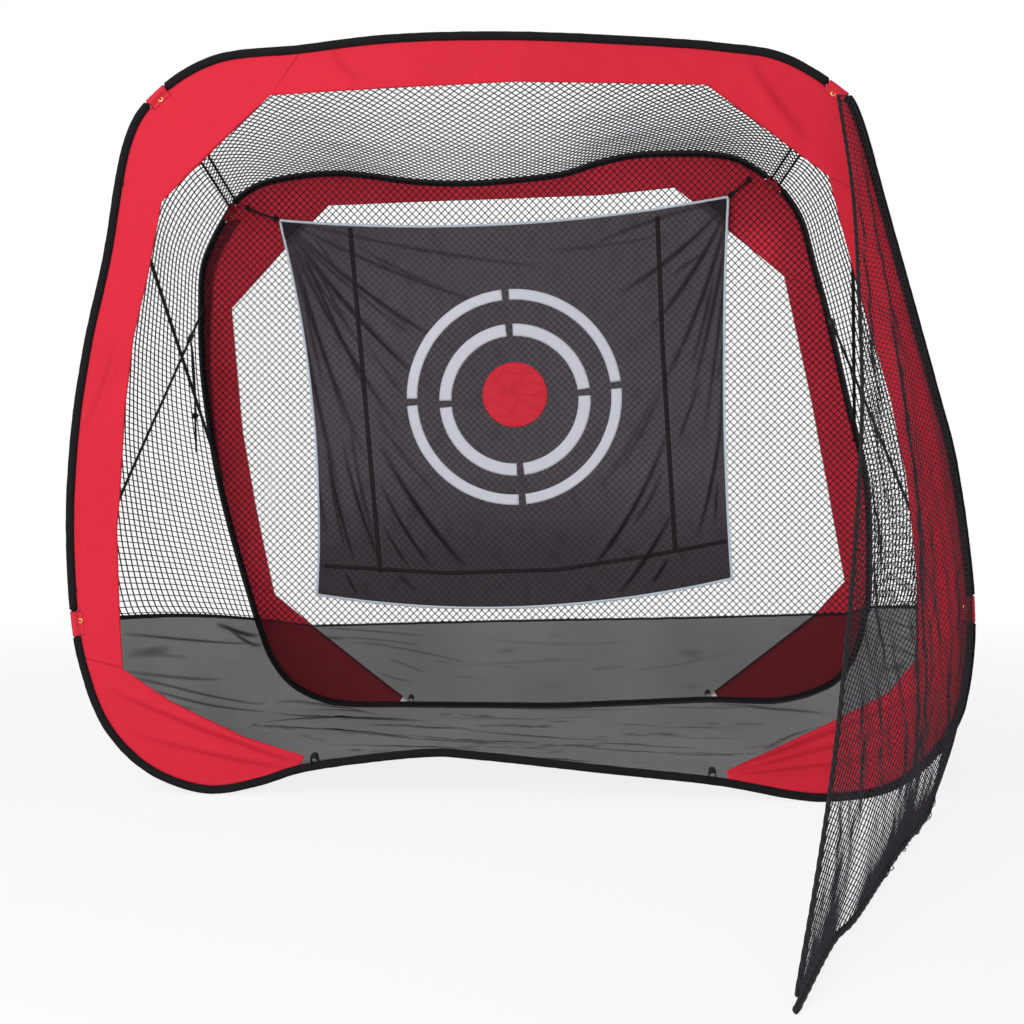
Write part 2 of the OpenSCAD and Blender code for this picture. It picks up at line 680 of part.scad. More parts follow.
// A ring of tape in four arcs
module ring_patch(r, w, centre = ring_centre)
    color(ring_white)
        plate(face_y - ring_t - 0.05, ring_t)
            translate(centre)
                difference() {
                    circle(r, $fn = 120);
                    circle(r - w, $fn = 120);
                    for (turn = [ring_turn, ring_turn + 90])
                        rotate(turn) square([2 * r + 2, ring_gap], center = true);
                }
module target_outer_ring() ring_patch(ring_r, ring_w, outer_centre);
module target_inner_ring() ring_patch(inner_ring_r, inner_ring_w);
module target_bullseye()
    color(red)
        plate(face_y - ring_t - 0.05, ring_t)
            translate(bullseye_centre) circle(bullseye_r, $fn = 96);
module target_corners() {
    side = 72;
    inset_by = piping_r + 2;
    color("#2b2f45")
        plate(face_y - ring_t - 0.05, ring_t) {
            translate(target_tl + [inset_by, -inset_by]) polygon([[0, 0], [side, -9], [20, -side]]);
            translate(target_tr + [-inset_by, -inset_by]) polygon([[0, 0], [-6, -side], [-side, -17]]);
        }
}
module target_ties() {
    gap = piping_r + 3;
    color(black) {
        rod([in_plane(tie_left, rear_y - tie_back),
             in_plane(lerp(tie_left, target_tl, 0.5) - [0, 6], rear_y - (tie_back + target_back) / 2),
             in_plane(target_tl + [-gap, gap / 2], target_y)], [0, 1, 0], tie_r, 8);
        rod([in_plane(tie_right, rear_y - tie_back),
             in_plane(lerp(tie_right, target_tr, 0.5) - [0, 6], rear_y - (tie_back + target_back) / 2),
             in_plane(target_tr + [gap, gap / 2], target_y)], [0, 1, 0], tie_r, 8);
    }
}

// ---------- Wing ----------

function reached(p) = [p[0], front_y + p[1] * wing_reach / nominal_reach, p[2]];
wing_lead = swept([for (p = lead_route) reached(p)], 3);
// The ground rope never dips below the ground between its points
wing_ground = [
    for (p = swept([for (p = ground_route) reached(p)], 3)) [p[0], p[1], max(p[2], ground_r)]
];
wing_hoop_run = [
    for (s = places(front_outline, 23, 30, [tab_gap / 2 + 4, 0]))
        in_plane(curve(front_outline, s), front_y - sleeve_r - net_t / 2 - 2)
];

// A point of the wing net: u runs down it, v from the hoop to the leading rope
function wing_point(u, v) =
    let (near = point_at(wing_hoop_run, u), lead = point_at(wing_lead, u))
    let (far = lead - (lead_r + net_room) * unit(lead - near))
    let (below = point_at(wing_ground, v * wing_foot) + [0, 0, ground_r + net_room])
    let (near_end = wing_hoop_run[len(wing_hoop_run) - 1], end = wing_lead[len(wing_lead) - 1])
    let (far_end = end - (lead_r + net_room) * unit(end - near_end))
    let (fold = wing_fold * sin(180 * u) * sin(180 * v) * sin(360 * wing_folds * v))
    lerp(near, far, v) + pow(u, 4) * (below - lerp(near_end, far_end, v)) + fold * [0.915, -0.403, 0];

module wing_net() {
    out = [0.915, -0.403, 0] * net_t / 2;
    points = [for (i = [0 : 24]) [for (j = [0 : 6]) wing_point(i / 24, 1 - j / 6)]];
    color(mesh_grey)
        net([for (row = points) [for (p = row) p + out]], [for (row = points) [for (p = row) p - out]]);
}
module wing_lead_rope() color(black) rod(wing_lead, [1, 0, 0], lead_r, 8);
module wing_ground_rope() color(black) rod(wing_ground, [1, 0, 0], ground_r, 8);

// ---------- Nodes ----------

front_hoop_wire();
front_hoop_ferrule();
front_sleeve(15, 23);  // front_sleeve_top
front_sleeve(23, 28);  // front_sleeve_right
front_sleeve(28, 46);  // front_sleeve_bottom
front_sleeve(9, 15);  // front_sleeve_left
front_border(0);  // front_border_bottom_left
front_border(1);  // front_border_left
front_border(2);  // front_border_top_left
front_border(3);  // front_border_top
front_border(4);  // front_border_right
front_border(5);  // front_border_bottom_right
front_tabs();
front_eyelets();
front_peg_loops();
top_net();
left_net();
right_net();
left_skirt();
right_skirt();
floor_sheet();
corner_tapes();
skirt_tapes();
left_strap();
right_strap();
left_slider_strap();
right_slider_strap();
rear_hoop_wire();
rear_hoop_ferrule();
rear_sleeve(14, 27);  // rear_sleeve_top
rear_sleeve(27, 57);  // rear_sleeve_bottom
rear_border(0);  // rear_border_bottom_left
rear_border(1);  // rear_border_left
rear_border(2);  // rear_border_top_left
rear_border(3);  // rear_border_top
rear_border(4);  // rear_border_top_right
rear_border(5);  // rear_border_right
rear_border(6);  // rear_border_bottom_right
rear_tabs();
rear_eyelets();
rear_peg_loops();
back_net();
back_skirt();
back_seam_tape();
left_slider_anchor();
right_slider_anchor();
left_slider();
right_slider();
left_tail_cord();
target_sheet();
target_piping();
target_outer_ring();
target_inner_ring();
target_bullseye();
target_corners();
target_ties();
wing_net();
wing_lead_rope();
wing_ground_rope();
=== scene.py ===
"""Looks of a pop-up chipping cage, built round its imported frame.

Metres, +Z up. The origin is on the ground at the centre of the footprint and the open mouth
faces -Y. Two spring hoops in black sleeves carry red borders, netting, a sheer lower part, a
hanging ring target and a loose net wing.
"""

import logging
import math
from bisect import bisect_right
from dataclasses import dataclass, field
from enum import Enum
from typing import Callable, Sequence

import bmesh
import bpy
import numpy as np
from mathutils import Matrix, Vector, noise

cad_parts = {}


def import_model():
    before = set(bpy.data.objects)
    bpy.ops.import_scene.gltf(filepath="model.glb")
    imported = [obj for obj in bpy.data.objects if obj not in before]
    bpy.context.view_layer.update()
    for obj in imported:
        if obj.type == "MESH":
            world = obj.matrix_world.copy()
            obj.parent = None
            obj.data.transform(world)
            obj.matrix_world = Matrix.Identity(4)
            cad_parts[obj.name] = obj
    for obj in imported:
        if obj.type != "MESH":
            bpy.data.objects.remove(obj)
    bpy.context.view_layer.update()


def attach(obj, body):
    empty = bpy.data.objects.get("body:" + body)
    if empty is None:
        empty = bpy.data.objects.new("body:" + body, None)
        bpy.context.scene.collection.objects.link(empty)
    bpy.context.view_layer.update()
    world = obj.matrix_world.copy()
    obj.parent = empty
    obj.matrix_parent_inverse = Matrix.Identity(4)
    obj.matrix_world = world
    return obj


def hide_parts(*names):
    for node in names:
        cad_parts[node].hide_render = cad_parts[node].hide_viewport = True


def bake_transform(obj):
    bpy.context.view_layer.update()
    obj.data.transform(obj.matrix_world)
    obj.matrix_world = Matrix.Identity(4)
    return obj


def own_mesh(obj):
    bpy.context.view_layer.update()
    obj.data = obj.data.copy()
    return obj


log = logging.getLogger("cage")

MM = 0.001
TURN = 2 * math.pi
CLOTH_UV = "ClothMap"
# Name of the mark that paints shade into cloth colours along creases, folds and edges
CREASE = "Crease"
LOOK = "look_"
FOLD_TRAVEL = 1.06
SEAT = 14 * MM
MESH_SIDE = 18.5 * MM
TOUCHING = 1e-6
CLOTH_STEP = 0.009
Colour = tuple[float, float, float]
Place = Callable[[int, int], Vector]
Lift = Callable[[float, float], Vector]


class Body(str, Enum):
    """The moving bodies of the cage."""

    FRONT = "front_frame"
    REAR = "rear_frame"
    TARGET = "target"
    WING = "wing"
    LEFT_SLIDER = "left_slider"
    RIGHT_SLIDER = "right_slider"


class Weave(Enum):
    """How the threads of a cloth cross."""

    PLAIN = "plain"
    MESH = "mesh"
    WEBBING = "webbing"


def clamp(value: float, low: float = 0.0, high: float = 1.0) -> float:
    """The value kept between two limits."""
    return min(high, max(low, value))


def metres(points: Sequence[Sequence[float]]) -> list[Vector]:
    """Points that are given in millimetres."""
    return [Vector(p) * MM for p in points]


def display(red: int, green: int, blue: int) -> Colour:
    """A linear colour from one given as it shows on a display, 0 to 255."""
    return tuple((c / 255 / 12.92) if c < 11 else ((c / 255 + 0.055) / 1.055) ** 2.4 for c in (red, green, blue))


# ---------- Shader building ----------


class Value:
    """A socket of numbers. Arithmetic on it adds Math nodes."""

    def __init__(self, tree: bpy.types.NodeTree, socket: bpy.types.NodeSocket) -> None:
        self.tree = tree
        self.socket = socket

    def math(self, operation: str, *others: "Value | float") -> "Value":
        """Adds one Math node.

        Args:
            operation: the node's operation, such as "MULTIPLY".
            others: its further inputs.

        Returns:
            The node's result.
        """
        node = self.tree.nodes.new("ShaderNodeMath")
        node.operation = operation
        for socket, value in zip(node.inputs, [self, *others]):
            if isinstance(value, Value):
                self.tree.links.new(value.socket, socket)
            else:
                socket.default_value = value
        return Value(self.tree, node.outputs[0])

    def __add__(self, other: "Value | float") -> "Value":
        """Sum."""
        return self.math("ADD", other)

    def __sub__(self, other: "Value | float") -> "Value":
        """Difference."""
        return self.math("SUBTRACT", other)

    def __mul__(self, other: "Value | float") -> "Value":
        """Product."""
        return self.math("MULTIPLY", other)

    def sine(self) -> "Value":
        """Sine of an angle in radians."""
        return self.math("SINE")

    def clipped(self) -> "Value":
        """The value kept from 0 to 1."""
        return self.math("MAXIMUM", 0.0).math("MINIMUM", 1.0)


class Shader:
    """One material and the tree that draws it."""

    def __init__(self, name: str) -> None:
        self.material = bpy.data.materials.new(LOOK + name)
        self.material.use_nodes = True
        self.tree = self.material.node_tree
        self.surface = self.tree.nodes["Principled BSDF"]

    def node(self, kind: str, settings: dict | None = None, **sockets: object) -> bpy.types.Node:
        """Adds a node.

        Args:
            kind: the node's type.
            settings: its own settings, which are set first.
            sockets: values or links of its inputs, with _ for a space.

        Returns:
            The node.
        """
        made = self.tree.nodes.new(kind)
        for key, value in (settings or {}).items():
            setattr(made, key, value)
        for key, value in sockets.items():
            self.feed(made.inputs[key.replace("_", " ")], value)
        return made

    def feed(self, socket: bpy.types.NodeSocket, value: object) -> None:
        """Links a socket or sets its number."""
        if isinstance(value, Value):
            self.tree.links.new(value.socket, socket)
        elif isinstance(value, bpy.types.NodeSocket):
            self.tree.links.new(value, socket)
        else:
            socket.default_value = value

    def value(self, socket: bpy.types.NodeSocket) -> Value:
        """A socket ready for arithmetic."""
        return Value(self.tree, socket)

    def set(self, **sockets: object) -> None:
        """Feeds the surface's own sockets."""
        for key, value in sockets.items():
            self.feed(self.surface.inputs[key.replace("_", " ")], value)

    def blended(self, share: Value | float, first: object, second: object) -> bpy.types.NodeSocket:
        """A colour between two others.

        Args:
            share: 0 for the first colour and 1 for the second.
            first: a colour or a colour socket.
            second: a colour or a colour socket.

        Returns:
            The mixed colour's socket.
        """
        node = self.tree.nodes.new("ShaderNodeMix")
        node.data_type = "RGBA"
        sockets = [s for s in node.inputs if s.type == "RGBA"]
        self.feed(next(s for s in node.inputs if s.type == "VALUE"), share)
        for socket, colour in zip(sockets, (first, second)):
            self.feed(socket, (*colour, 1) if isinstance(colour, tuple) else colour)
        return next(s for s in node.outputs if s.type == "RGBA")

    def cloud(self, scale: float, detail: float = 2.0, stretch: tuple = (1, 1, 1)) -> Value:
        """Soft noise over the object's own coordinates.

        Args:
            scale: noise cells in a metre.
            detail: how much finer noise is added.
            stretch: how the cells are squeezed along each axis.

        Returns:
            The noise, from 0 to 1.
        """
        place = self.node("ShaderNodeTexCoord").outputs["Object"]
        scaled = self.node("ShaderNodeMapping", Vector=place, Scale=stretch).outputs["Vector"]
        made = self.node("ShaderNodeTexNoise", Vector=scaled, Scale=scale, Detail=detail)
        return self.value(made.outputs["Fac"])

    def across(self) -> tuple[Value, Value]:
        """Metres along and across the cloth, from its own map."""
        place = self.node("ShaderNodeUVMap", {"uv_map": CLOTH_UV}).outputs["UV"]
        split = self.node("ShaderNodeSeparateXYZ", Vector=place)
        return self.value(split.outputs["X"]), self.value(split.outputs["Y"])

    def relief(self, height: Value, depth: float, strength: float = 1.0) -> None:
        """Bumps the surface by a height from 0 to 1 times a depth in metres."""
        bump = self.node("ShaderNodeBump", Height=height, Distance=depth, Strength=strength)
        self.set(Normal=bump.outputs["Normal"])


# ---------- Finishes ----------


@dataclass(frozen=True)
class Cloth:
    """A woven or knitted fabric, with painted shade along its creases, folds and edges."""

    name: str
    colour: Colour
    # colour of the painted shade in creases, folds and along edges
    crease: Colour
    weave: Weave = Weave.PLAIN
    threads: float = 700
    roughness: float = 0.72
    shine: float = 0.15
    cover: float = 1.0
    crease_cover: float = 1.0
    # how much it covers where its mark opens it; the opening stands in for light on what lies behind, the cloth is no
    # thinner there
    lit_opening_cover: float | None = None
    blotch: float = 0.25
    thread_depth: float = 0.00012

    def threading(self, shader: Shader) -> Value:
        """Height of the threads, from 0 to 1."""
        along, across = shader.across()
        turn = TURN * self.threads
        if self.weave is Weave.WEBBING:
            ribs = ((along + across * 0.6) * turn).sine() * ((along - across * 0.6) * turn).sine()
            return ribs * 0.5 + 0.5
        if self.weave is Weave.MESH:
            return ((along * turn).sine() * (across * turn).sine()) * 0.5 + 0.5
        return ((along * turn).sine() + (across * turn).sine()) * 0.25 + 0.5

    def build(self) -> bpy.types.Material:
        """Makes the material."""
        shader = Shader(self.name)
        marked = shader.value(shader.node("ShaderNodeAttribute", {"attribute_name": CREASE}).outputs["Fac"])
        crease = marked.clipped()
        thread = self.threading(shader)
        large, small = shader.cloud(2.2), shader.cloud(38, 3)
        wear_and_shade = (large - 0.5) * self.blotch + (small - 0.5) * (0.5 * self.blotch) + (thread - 0.5) * 0.12
        pale = tuple(min(1.0, c * 1.22 + 0.004) for c in self.colour)
        deep = tuple(c * 0.78 for c in self.colour)
        body = shader.blended((wear_and_shade + 0.5).clipped(), deep, pale)
        # Painted shade: the mark darkens the colour towards the crease colour
        shader.set(Base_Color=shader.blended(crease, body, self.crease))
        shader.set(Roughness=(small * 0.16 + (self.roughness - 0.08)).clipped(), Specular_IOR_Level=self.shine)
        if self.cover < 1:
            # A cloth is crossed twice, so each of its two faces covers less
            open_face, open_crease = math.sqrt(1 - self.cover), math.sqrt(1 - self.crease_cover)
            shut = (large - 0.5) * 0.1 + (1 - open_face)
            # A mark below 0 opens the cloth further, standing in for light that shows what lies behind brighter
            if self.lit_opening_cover is not None:
                shut = shut - (marked * -1).clipped() * (math.sqrt(1 - self.lit_opening_cover) - open_face)
            # Where the mark is above 0 the cloth also covers more, as folded cloth does
            shader.set(Alpha=(shut + crease * (open_face - open_crease)).clipped())
        shader.relief(thread, self.thread_depth, 0.6)
        return shader.material


@dataclass(frozen=True)
class Twine:
    """Knotted or laid cord. Laid cord shows its strands along its own map."""

    name: str
    colour: Colour
    strands: int = 0
    pitch: float = 0.012
    girth: float = 0.02
    roughness: float = 0.75

    def build(self) -> bpy.types.Material:
        """Makes the material."""
        shader = Shader(self.name)
        fuzz = shader.cloud(260, 2)
        tone = shader.cloud(5)
        pale = tuple(min(1.0, c * 1.7 + 0.006) for c in self.colour)
        mix = (tone - 0.5) * 0.5 + (fuzz - 0.5) * 0.6 + 0.35
        height = fuzz
        if self.strands:
            along, across = shader.across()
            turn = (along * (1 / self.pitch) + across * (self.strands / self.girth)) * TURN
            lay = turn.sine() * 0.5 + 0.5
            mix = mix + (lay - 0.5) * 0.5
            height = lay * 0.8 + fuzz * 0.2
        deep = tuple(c * 0.7 for c in self.colour)
        shader.set(Base_Color=shader.blended(mix.clipped(), deep, pale))
        shader.set(Roughness=self.roughness, Specular_IOR_Level=0.15)
        shader.relief(height, 0.0004 if self.strands else 0.0002, 0.7)
        return shader.material


@dataclass(frozen=True)
class Metal:
    """Bare metal with fine scratches and dull patches."""

    name: str
    colour: Colour
    tarnish: Colour
    roughness: float = 0.28

    def build(self) -> bpy.types.Material:
        """Makes the material."""
        shader = Shader(self.name)
        patch = (shader.cloud(90, 3) * 1.6 - 0.5).clipped()
        scratch = shader.cloud(420, 2, (1, 8, 1))
        shader.set(Base_Color=shader.blended(patch * 0.5, self.colour, self.tarnish), Metallic=1.0)
        shader.set(Roughness=(patch * 0.2 + scratch * 0.12 + self.roughness).clipped())
        shader.relief(scratch, 0.00005, 0.5)
        return shader.material


@dataclass(frozen=True)
class Moulded:
    """Injection-moulded plastic with a fine grain."""

    name: str
    colour: Colour
    roughness: float = 0.42

    def build(self) -> bpy.types.Material:
        """Makes the material."""
        shader = Shader(self.name)
        grain, tone = shader.cloud(1500, 1), shader.cloud(60)
        pale = tuple(c * 1.5 + 0.01 for c in self.colour)
        shader.set(Base_Color=shader.blended(tone * 0.6, self.colour, pale))
        shader.set(Roughness=(tone * 0.14 + self.roughness).clipped())
        shader.relief(grain, 0.00004, 0.6)
        return shader.material


# The second colour of each cloth is its painted shade, for creases, folds and edges
CLOTHS = (
    Cloth(
        "border_red", display(203, 38, 56), display(140, 14, 30), threads=900, roughness=0.66, shine=0.07, blotch=0.3
    ),
    # Painted light: the rear hoop's red is a brighter copy of the front red, making up for the shade and the nets in
    # front of it
    Cloth("border_red_painted_lit", display(255, 52, 72), display(84, 12, 22), threads=900, blotch=0.3),
    Cloth("sleeve", display(25, 24, 27), display(10, 10, 11), threads=800, roughness=0.8, shine=0.04, blotch=0.3),
    Cloth(
        "sheer", display(58, 50, 58), display(18, 15, 19), Weave.MESH, 500, shine=0.1, cover=0.87, crease_cover=0.995
    ),
    # Painted shade: the back skirt's sheer is a darker copy of the side sheer
    Cloth(
        "sheer_back", display(46, 40, 45), display(22, 18, 22), Weave.MESH, 500, shine=0.08, cover=0.88,
        crease_cover=0.975, lit_opening_cover=0.6,
    ),
    Cloth(
        "target_mesh", display(70, 62, 70), display(24, 20, 25), Weave.MESH, 420, shine=0.1, cover=0.965,
        crease_cover=0.999, blotch=0.3,
    ),
    Cloth("webbing_black", display(32, 31, 33), display(12, 12, 13), Weave.WEBBING, 420, blotch=0.3),
    Cloth("webbing_red", display(200, 40, 56), display(120, 12, 26), Weave.WEBBING, 420),
    Cloth("ring_tape", display(226, 229, 247), display(174, 177, 198), threads=650, blotch=0.14),
    Cloth("disc_cloth", display(230, 50, 66), display(160, 22, 38), threads=650, blotch=0.2),
    Cloth("corner_cloth", display(36, 29, 38), display(18, 15, 21), threads=650),
    Cloth("piping", display(214, 225, 245), display(164, 176, 204), threads=600, blotch=0.14),
    Cloth("seam_tape", display(32, 27, 32), display(14, 12, 14), threads=650),
)
HARD_OR_CORDED = (
    Twine("netting", display(46, 43, 50)),
    Twine("tie_cord", display(28, 27, 30), 3, 0.012, 0.027),
    Twine("tail_cord", display(28, 27, 29), 3, 0.014, 0.0251),
    Twine("edge_rope", display(28, 26, 29), 3, 0.03, 0.044),
    Metal("spring_steel", display(190, 192, 196), display(120, 118, 116)),
    Metal("eyelet_brass", display(214, 178, 104), display(140, 104, 60)),
    Moulded("slider_plastic", display(26, 26, 28)),
)
FINISHES = {finish.name: finish for finish in (*CLOTHS, *HARD_OR_CORDED)}


# ---------- Lines, outlines and meshes ----------


def smooth_point(a: Vector, b: Vector, c: Vector, d: Vector, t: float) -> Vector:
    """The point at share t of the smooth curve from b to c, with neighbours a and d."""
    return 0.5 * (2 * b + (c - a) * t + (2 * a - 5 * b + 4 * c - d) * t**2 + (3 * b - a - 3 * c + d) * t**3)


def ripple(point: Vector, size: float, seed: float = 0.0) -> float:
    """Smooth noise from -1 to 1 with swells about `size` metres across."""
    return noise.noise(Vector((point[0] / size + seed, point[1] / size - seed, point[2] / size + 2 * seed)))


class Folds:
    """Long folds across a flat map, each with painted shade along one side.

    A row holds its start and end, its width, its bend and its height in millimetres, and how dark
    the painted shade on its side is, from 0 to 1.
    """

    def __init__(self, rows: Sequence[tuple]) -> None:
        flat = [(*a, *b, wide, bend, high, dark / MM) for a, b, wide, bend, high, dark in rows]
        table = np.array(flat, float).reshape(-1, 8) * MM
        self.start, self.end = table[:, :2], table[:, 2:4]
        self.width, self.bend, self.high, self.dark = table[:, 4:].T

    def read(self, points: Sequence) -> tuple[np.ndarray, np.ndarray]:
        """How high the folds are at some points of the map, and how dark their painted shade is.

        Args:
            points: the points, in metres.

        Returns:
            The heights in metres and the painted shades from 0 to 1.
        """
        run = self.end - self.start
        length = np.linalg.norm(run, axis=1)
        away = np.array([p[:2] for p in points], float)[:, None] - self.start
        along = (away * run).sum(2) / length**2
        side = (away[..., 0] * run[:, 1] - away[..., 1] * run[:, 0]) / length - self.bend * 4 * along * (1 - along)
        side = side / self.width
        span = np.where((along > 0) & (along < 1), np.sin(np.pi * np.clip(along, 0, 1)), 0.0)
        rise = (self.high * np.exp(-(side**2)) * span**0.7).sum(1)
        # Painted shade: a dark band beside each fold's ridge, on one side
        shade = (self.dark * np.exp(-(((side + 0.8) / 0.5) ** 2)) * span**0.5).max(1, initial=0.0)
        return rise, shade


def grid_of(columns: int, rows: int, point: Callable[[float, float], Sequence[float]]) -> list[list]:
    """The points of a grid, column by column, read by their shares along and across."""
    return [[point(i / columns, j / rows) for j in range(rows + 1)] for i in range(columns + 1)]


def folds_on(rows: Folds, grid: list[list]) -> tuple[np.ndarray, np.ndarray]:
    """Heights and painted shades of folds at each point of a grid."""
    return tuple(a.reshape(len(grid), len(grid[0])) for a in rows.read([p for column in grid for p in column]))


class Line:
    """A row of points that is read by the share of its length."""

    def __init__(self, points: Sequence[Vector]) -> None:
        self.points = [Vector(p) for p in points]
        self.marks = [0.0]
        for a, b in zip(self.points, self.points[1:]):
            self.marks.append(self.marks[-1] + (b - a).length)
        self.length = self.marks[-1]

    def at(self, share: float) -> Vector:
        """The point at a share of the length."""
        along = clamp(share) * self.length
        i = min(bisect_right(self.marks, along) - 1, len(self.points) - 2)
        step = self.marks[i + 1] - self.marks[i]
        return self.points[i].lerp(self.points[i + 1], (along - self.marks[i]) / step if step else 0.0)

    def heading(self, share: float) -> Vector:
        """The direction at a share of the length."""
        reach = min(0.02, 0.006 / self.length)
        return (self.at(share + reach) - self.at(share - reach)).normalized()


def smooth_line(points: Sequence[Sequence[float]], parts: int) -> Line:
    """A smooth line through points in millimetres.

    Args:
        points: the points it passes.
        parts: how many steps it takes between two of them.

    Returns:
        The line, in metres.
    """
    p = metres(points)
    row = []
    for i, (b, c) in enumerate(zip(p, p[1:])):
        a = p[i - 1] if i else 2 * b - c
        d = p[i + 2] if i + 2 < len(p) else 2 * c - b
        row += [smooth_point(a, b, c, d, k / parts) for k in range(parts)]
    return Line([*row, p[-1]])


@dataclass
class Outline:
    """A hoop's closed line in its own plane, standing on the ground by its sleeve."""

    points: list
    depth: float
    sleeve: float = 12 * MM
    knots: list = field(init=False)

    def __post_init__(self) -> None:
        """Scales the points and lifts them until the sleeve just stands."""
        self.knots = metres(self.points)
        low = min(self.at(k / 2)[1] for k in range(2 * len(self.knots)))
        self.knots = [k + Vector((0, self.sleeve - low)) for k in self.knots]

    def at(self, place: float) -> Vector:
        """The point [x, z] at a place, counted in the outline's points."""
        i, n = math.floor(place), len(self.knots)
        return smooth_point(*(self.knots[(i + k) % n] for k in (-1, 0, 1, 2)), place - i)

    def heading(self, place: float) -> Vector:
        """Unit vector along the outline, clockwise as seen from the mouth."""
        return (self.at(place + 0.02) - self.at(place - 0.02)).normalized()

    def inwards(self, place: float) -> Vector:
        """Unit vector into the hoop."""
        h = self.heading(place)
        return Vector((h[1], -h[0]))

    def inset(self, place: float, distance: float) -> Vector:
        """The point that far inside the outline."""
        return self.at(place) + distance * self.inwards(place)

    def solid(self, flat: Vector, depth: float = 0.0) -> Vector:
        """A point [x, z] of the hoop's plane in space, moved back by a depth."""
        return Vector((flat[0], self.depth + depth, flat[1]))

    def moved(self, place: float, distance: float) -> float:
        """The place a distance further on along the outline."""
        near = math.floor(place) if distance > 0 else math.ceil(place) - 1
        n = len(self.knots)
        return place + distance / (self.knots[(near + 1) % n] - self.knots[near % n]).length

    def spread(self, start: float, end: float, parts: int) -> list[float]:
        """Places that split a run of the outline into equal lengths."""
        fine = np.linspace(start, end, max(40, parts * 2))
        points = np.array([self.at(s) for s in fine])
        marks = np.concatenate([[0], np.cumsum(np.linalg.norm(np.diff(points, axis=0), axis=1))])
        return list(np.interp(np.linspace(0, marks[-1], parts + 1), marks, fine))

    def run(self, start: float, end: float, step: float = 0.008) -> Line:
        """The run between two places as a line of [x, z] points."""
        return Line([self.at(s) for s in self.spread(start, end, max(8, int(self.length(start, end) / step)))])

    def length(self, start: float, end: float) -> float:
        """Length of the run between two places."""
        points = np.array([self.at(s) for s in np.linspace(start, end, 20 + 4 * int(end - start))])
        return float(np.linalg.norm(np.diff(points, axis=0), axis=1).sum())


def shaped_grid(
    columns: int, rows: int, place: Place, size: tuple[float, float],
    crease: Callable[[int, int], float] | None = None, closed: bool = False, capped: bool = False,
) -> bmesh.types.BMesh:
    """A grid bent into a sheet or a tube, with a map in metres.

    Args:
        columns: steps along the cloth.
        rows: steps across it.
        place: gives the point for a column and a row.
        size: the cloth's length and width in metres.
        crease: gives how dark the painted shade is there, from 0 to 1.
        closed: joins the first row to the last.
        capped: closes the two ends.

    Returns:
        The mesh.
    """
    bm = bmesh.new()
    bmesh.ops.create_grid(bm, x_segments=columns, y_segments=rows, size=0.5)
    uv = bm.loops.layers.uv.new(CLOTH_UV)
    depth = bm.verts.layers.float.new(CREASE)
    for face in bm.faces:
        for loop in face.loops:
            loop[uv].uv = ((loop.vert.co.x + 0.5) * size[0], (loop.vert.co.y + 0.5) * size[1])
    for vert in bm.verts:
        i, j = round((vert.co.x + 0.5) * columns), round((vert.co.y + 0.5) * rows)
        vert.co = place(i, j)
        if crease:
            vert[depth] = crease(i, j)
    if closed:
        bmesh.ops.remove_doubles(bm, verts=bm.verts, dist=TOUCHING)
    if capped:
        bmesh.ops.holes_fill(bm, edges=[e for e in bm.edges if e.is_boundary])
    if closed:
        bmesh.ops.recalc_face_normals(bm, faces=bm.faces)
    return bm


def edged(last: int, depth: float) -> Callable[[int, int], float]:
    """Painted shade along the first and the last row of a grid."""
    return lambda i, j: depth if j in (0, last) else 0.0


def tube(
    line: Line, radius: Callable[[float, float], float], steps: int, sides: int, across: Vector = Vector((0, 1, 0))
) -> bmesh.types.BMesh:
    """A closed tube along a line.

    Args:
        line: its middle.
        radius: the radius at a share of the length and a share of the way round.
        steps: rings along it.
        sides: faces round it.
        across: a direction that is nowhere along the line.

    Returns:
        The mesh.
    """
    rings = []
    for i in range(steps + 1):
        t = line.heading(i / steps)
        u = across.cross(t).normalized()
        rings.append((line.at(i / steps), u, t.cross(u)))

    def place(i: int, j: int) -> Vector:
        middle, u, v = rings[i]
        a = TURN * (j % sides) / sides
        r = radius(i / steps, (j % sides) / sides)
        return middle + r * (math.cos(a) * u + math.sin(a) * v)

    girth = TURN * radius(0.5, 0.0)
    return shaped_grid(steps, sides, place, (line.length, girth), closed=True, capped=True)


def rounded(share: float, length: float, radius: float) -> float:
    """How much a tube's radius shrinks near its ends, to close them softly."""
    end = min(share, 1 - share) * length
    return math.sqrt(max(0.04, 1 - max(0.0, 1 - end / radius) ** 2))


def piece(name: str, bm: bmesh.types.BMesh, finish: str, thick: float = 0.0, sharp: float = 0.0) -> bpy.types.Object:
    """Turns a mesh into a finished object.

    Args:
        name: the object's name.
        bm: its mesh, which is freed.
        finish: the name of its finish.
        thick: how thick its cloth is, for a single sheet.
        sharp: angle in degrees past which an edge shows.

    Returns:
        The object.
    """
    mesh = bpy.data.meshes.new(name)
    bm.to_mesh(mesh)
    bm.free()
    mesh.shade_smooth()
    if sharp:
        mesh.set_sharp_from_angle(angle=math.radians(sharp))
    mesh.materials.append(material(finish))
    made = bpy.data.objects.new(name, mesh)
    bpy.context.scene.collection.objects.link(made)
    if thick:
        wall = made.modifiers.new("Thickness", "SOLIDIFY")
        wall.thickness, wall.offset = thick, 0
    return made


def ribbon(
    name: str, steps: int, place: Place, size: tuple[float, float], finish: str, thick: float, wear_and_shade: float = 0.4
) -> bpy.types.Object:
    """Makes a narrow band, four faces across.

    Args:
        name: the object's name.
        steps: faces along it.
        place: gives the point for a column and a row.
        size: its length and width in metres.
        finish: the name of its finish.
        thick: how thick it is.
        wear_and_shade: how dark the painted shade along its two edges is.

    Returns:
        The object.
    """
    return piece(name, shaped_grid(steps, 4, place, size, edged(4, wear_and_shade)), finish, thick)


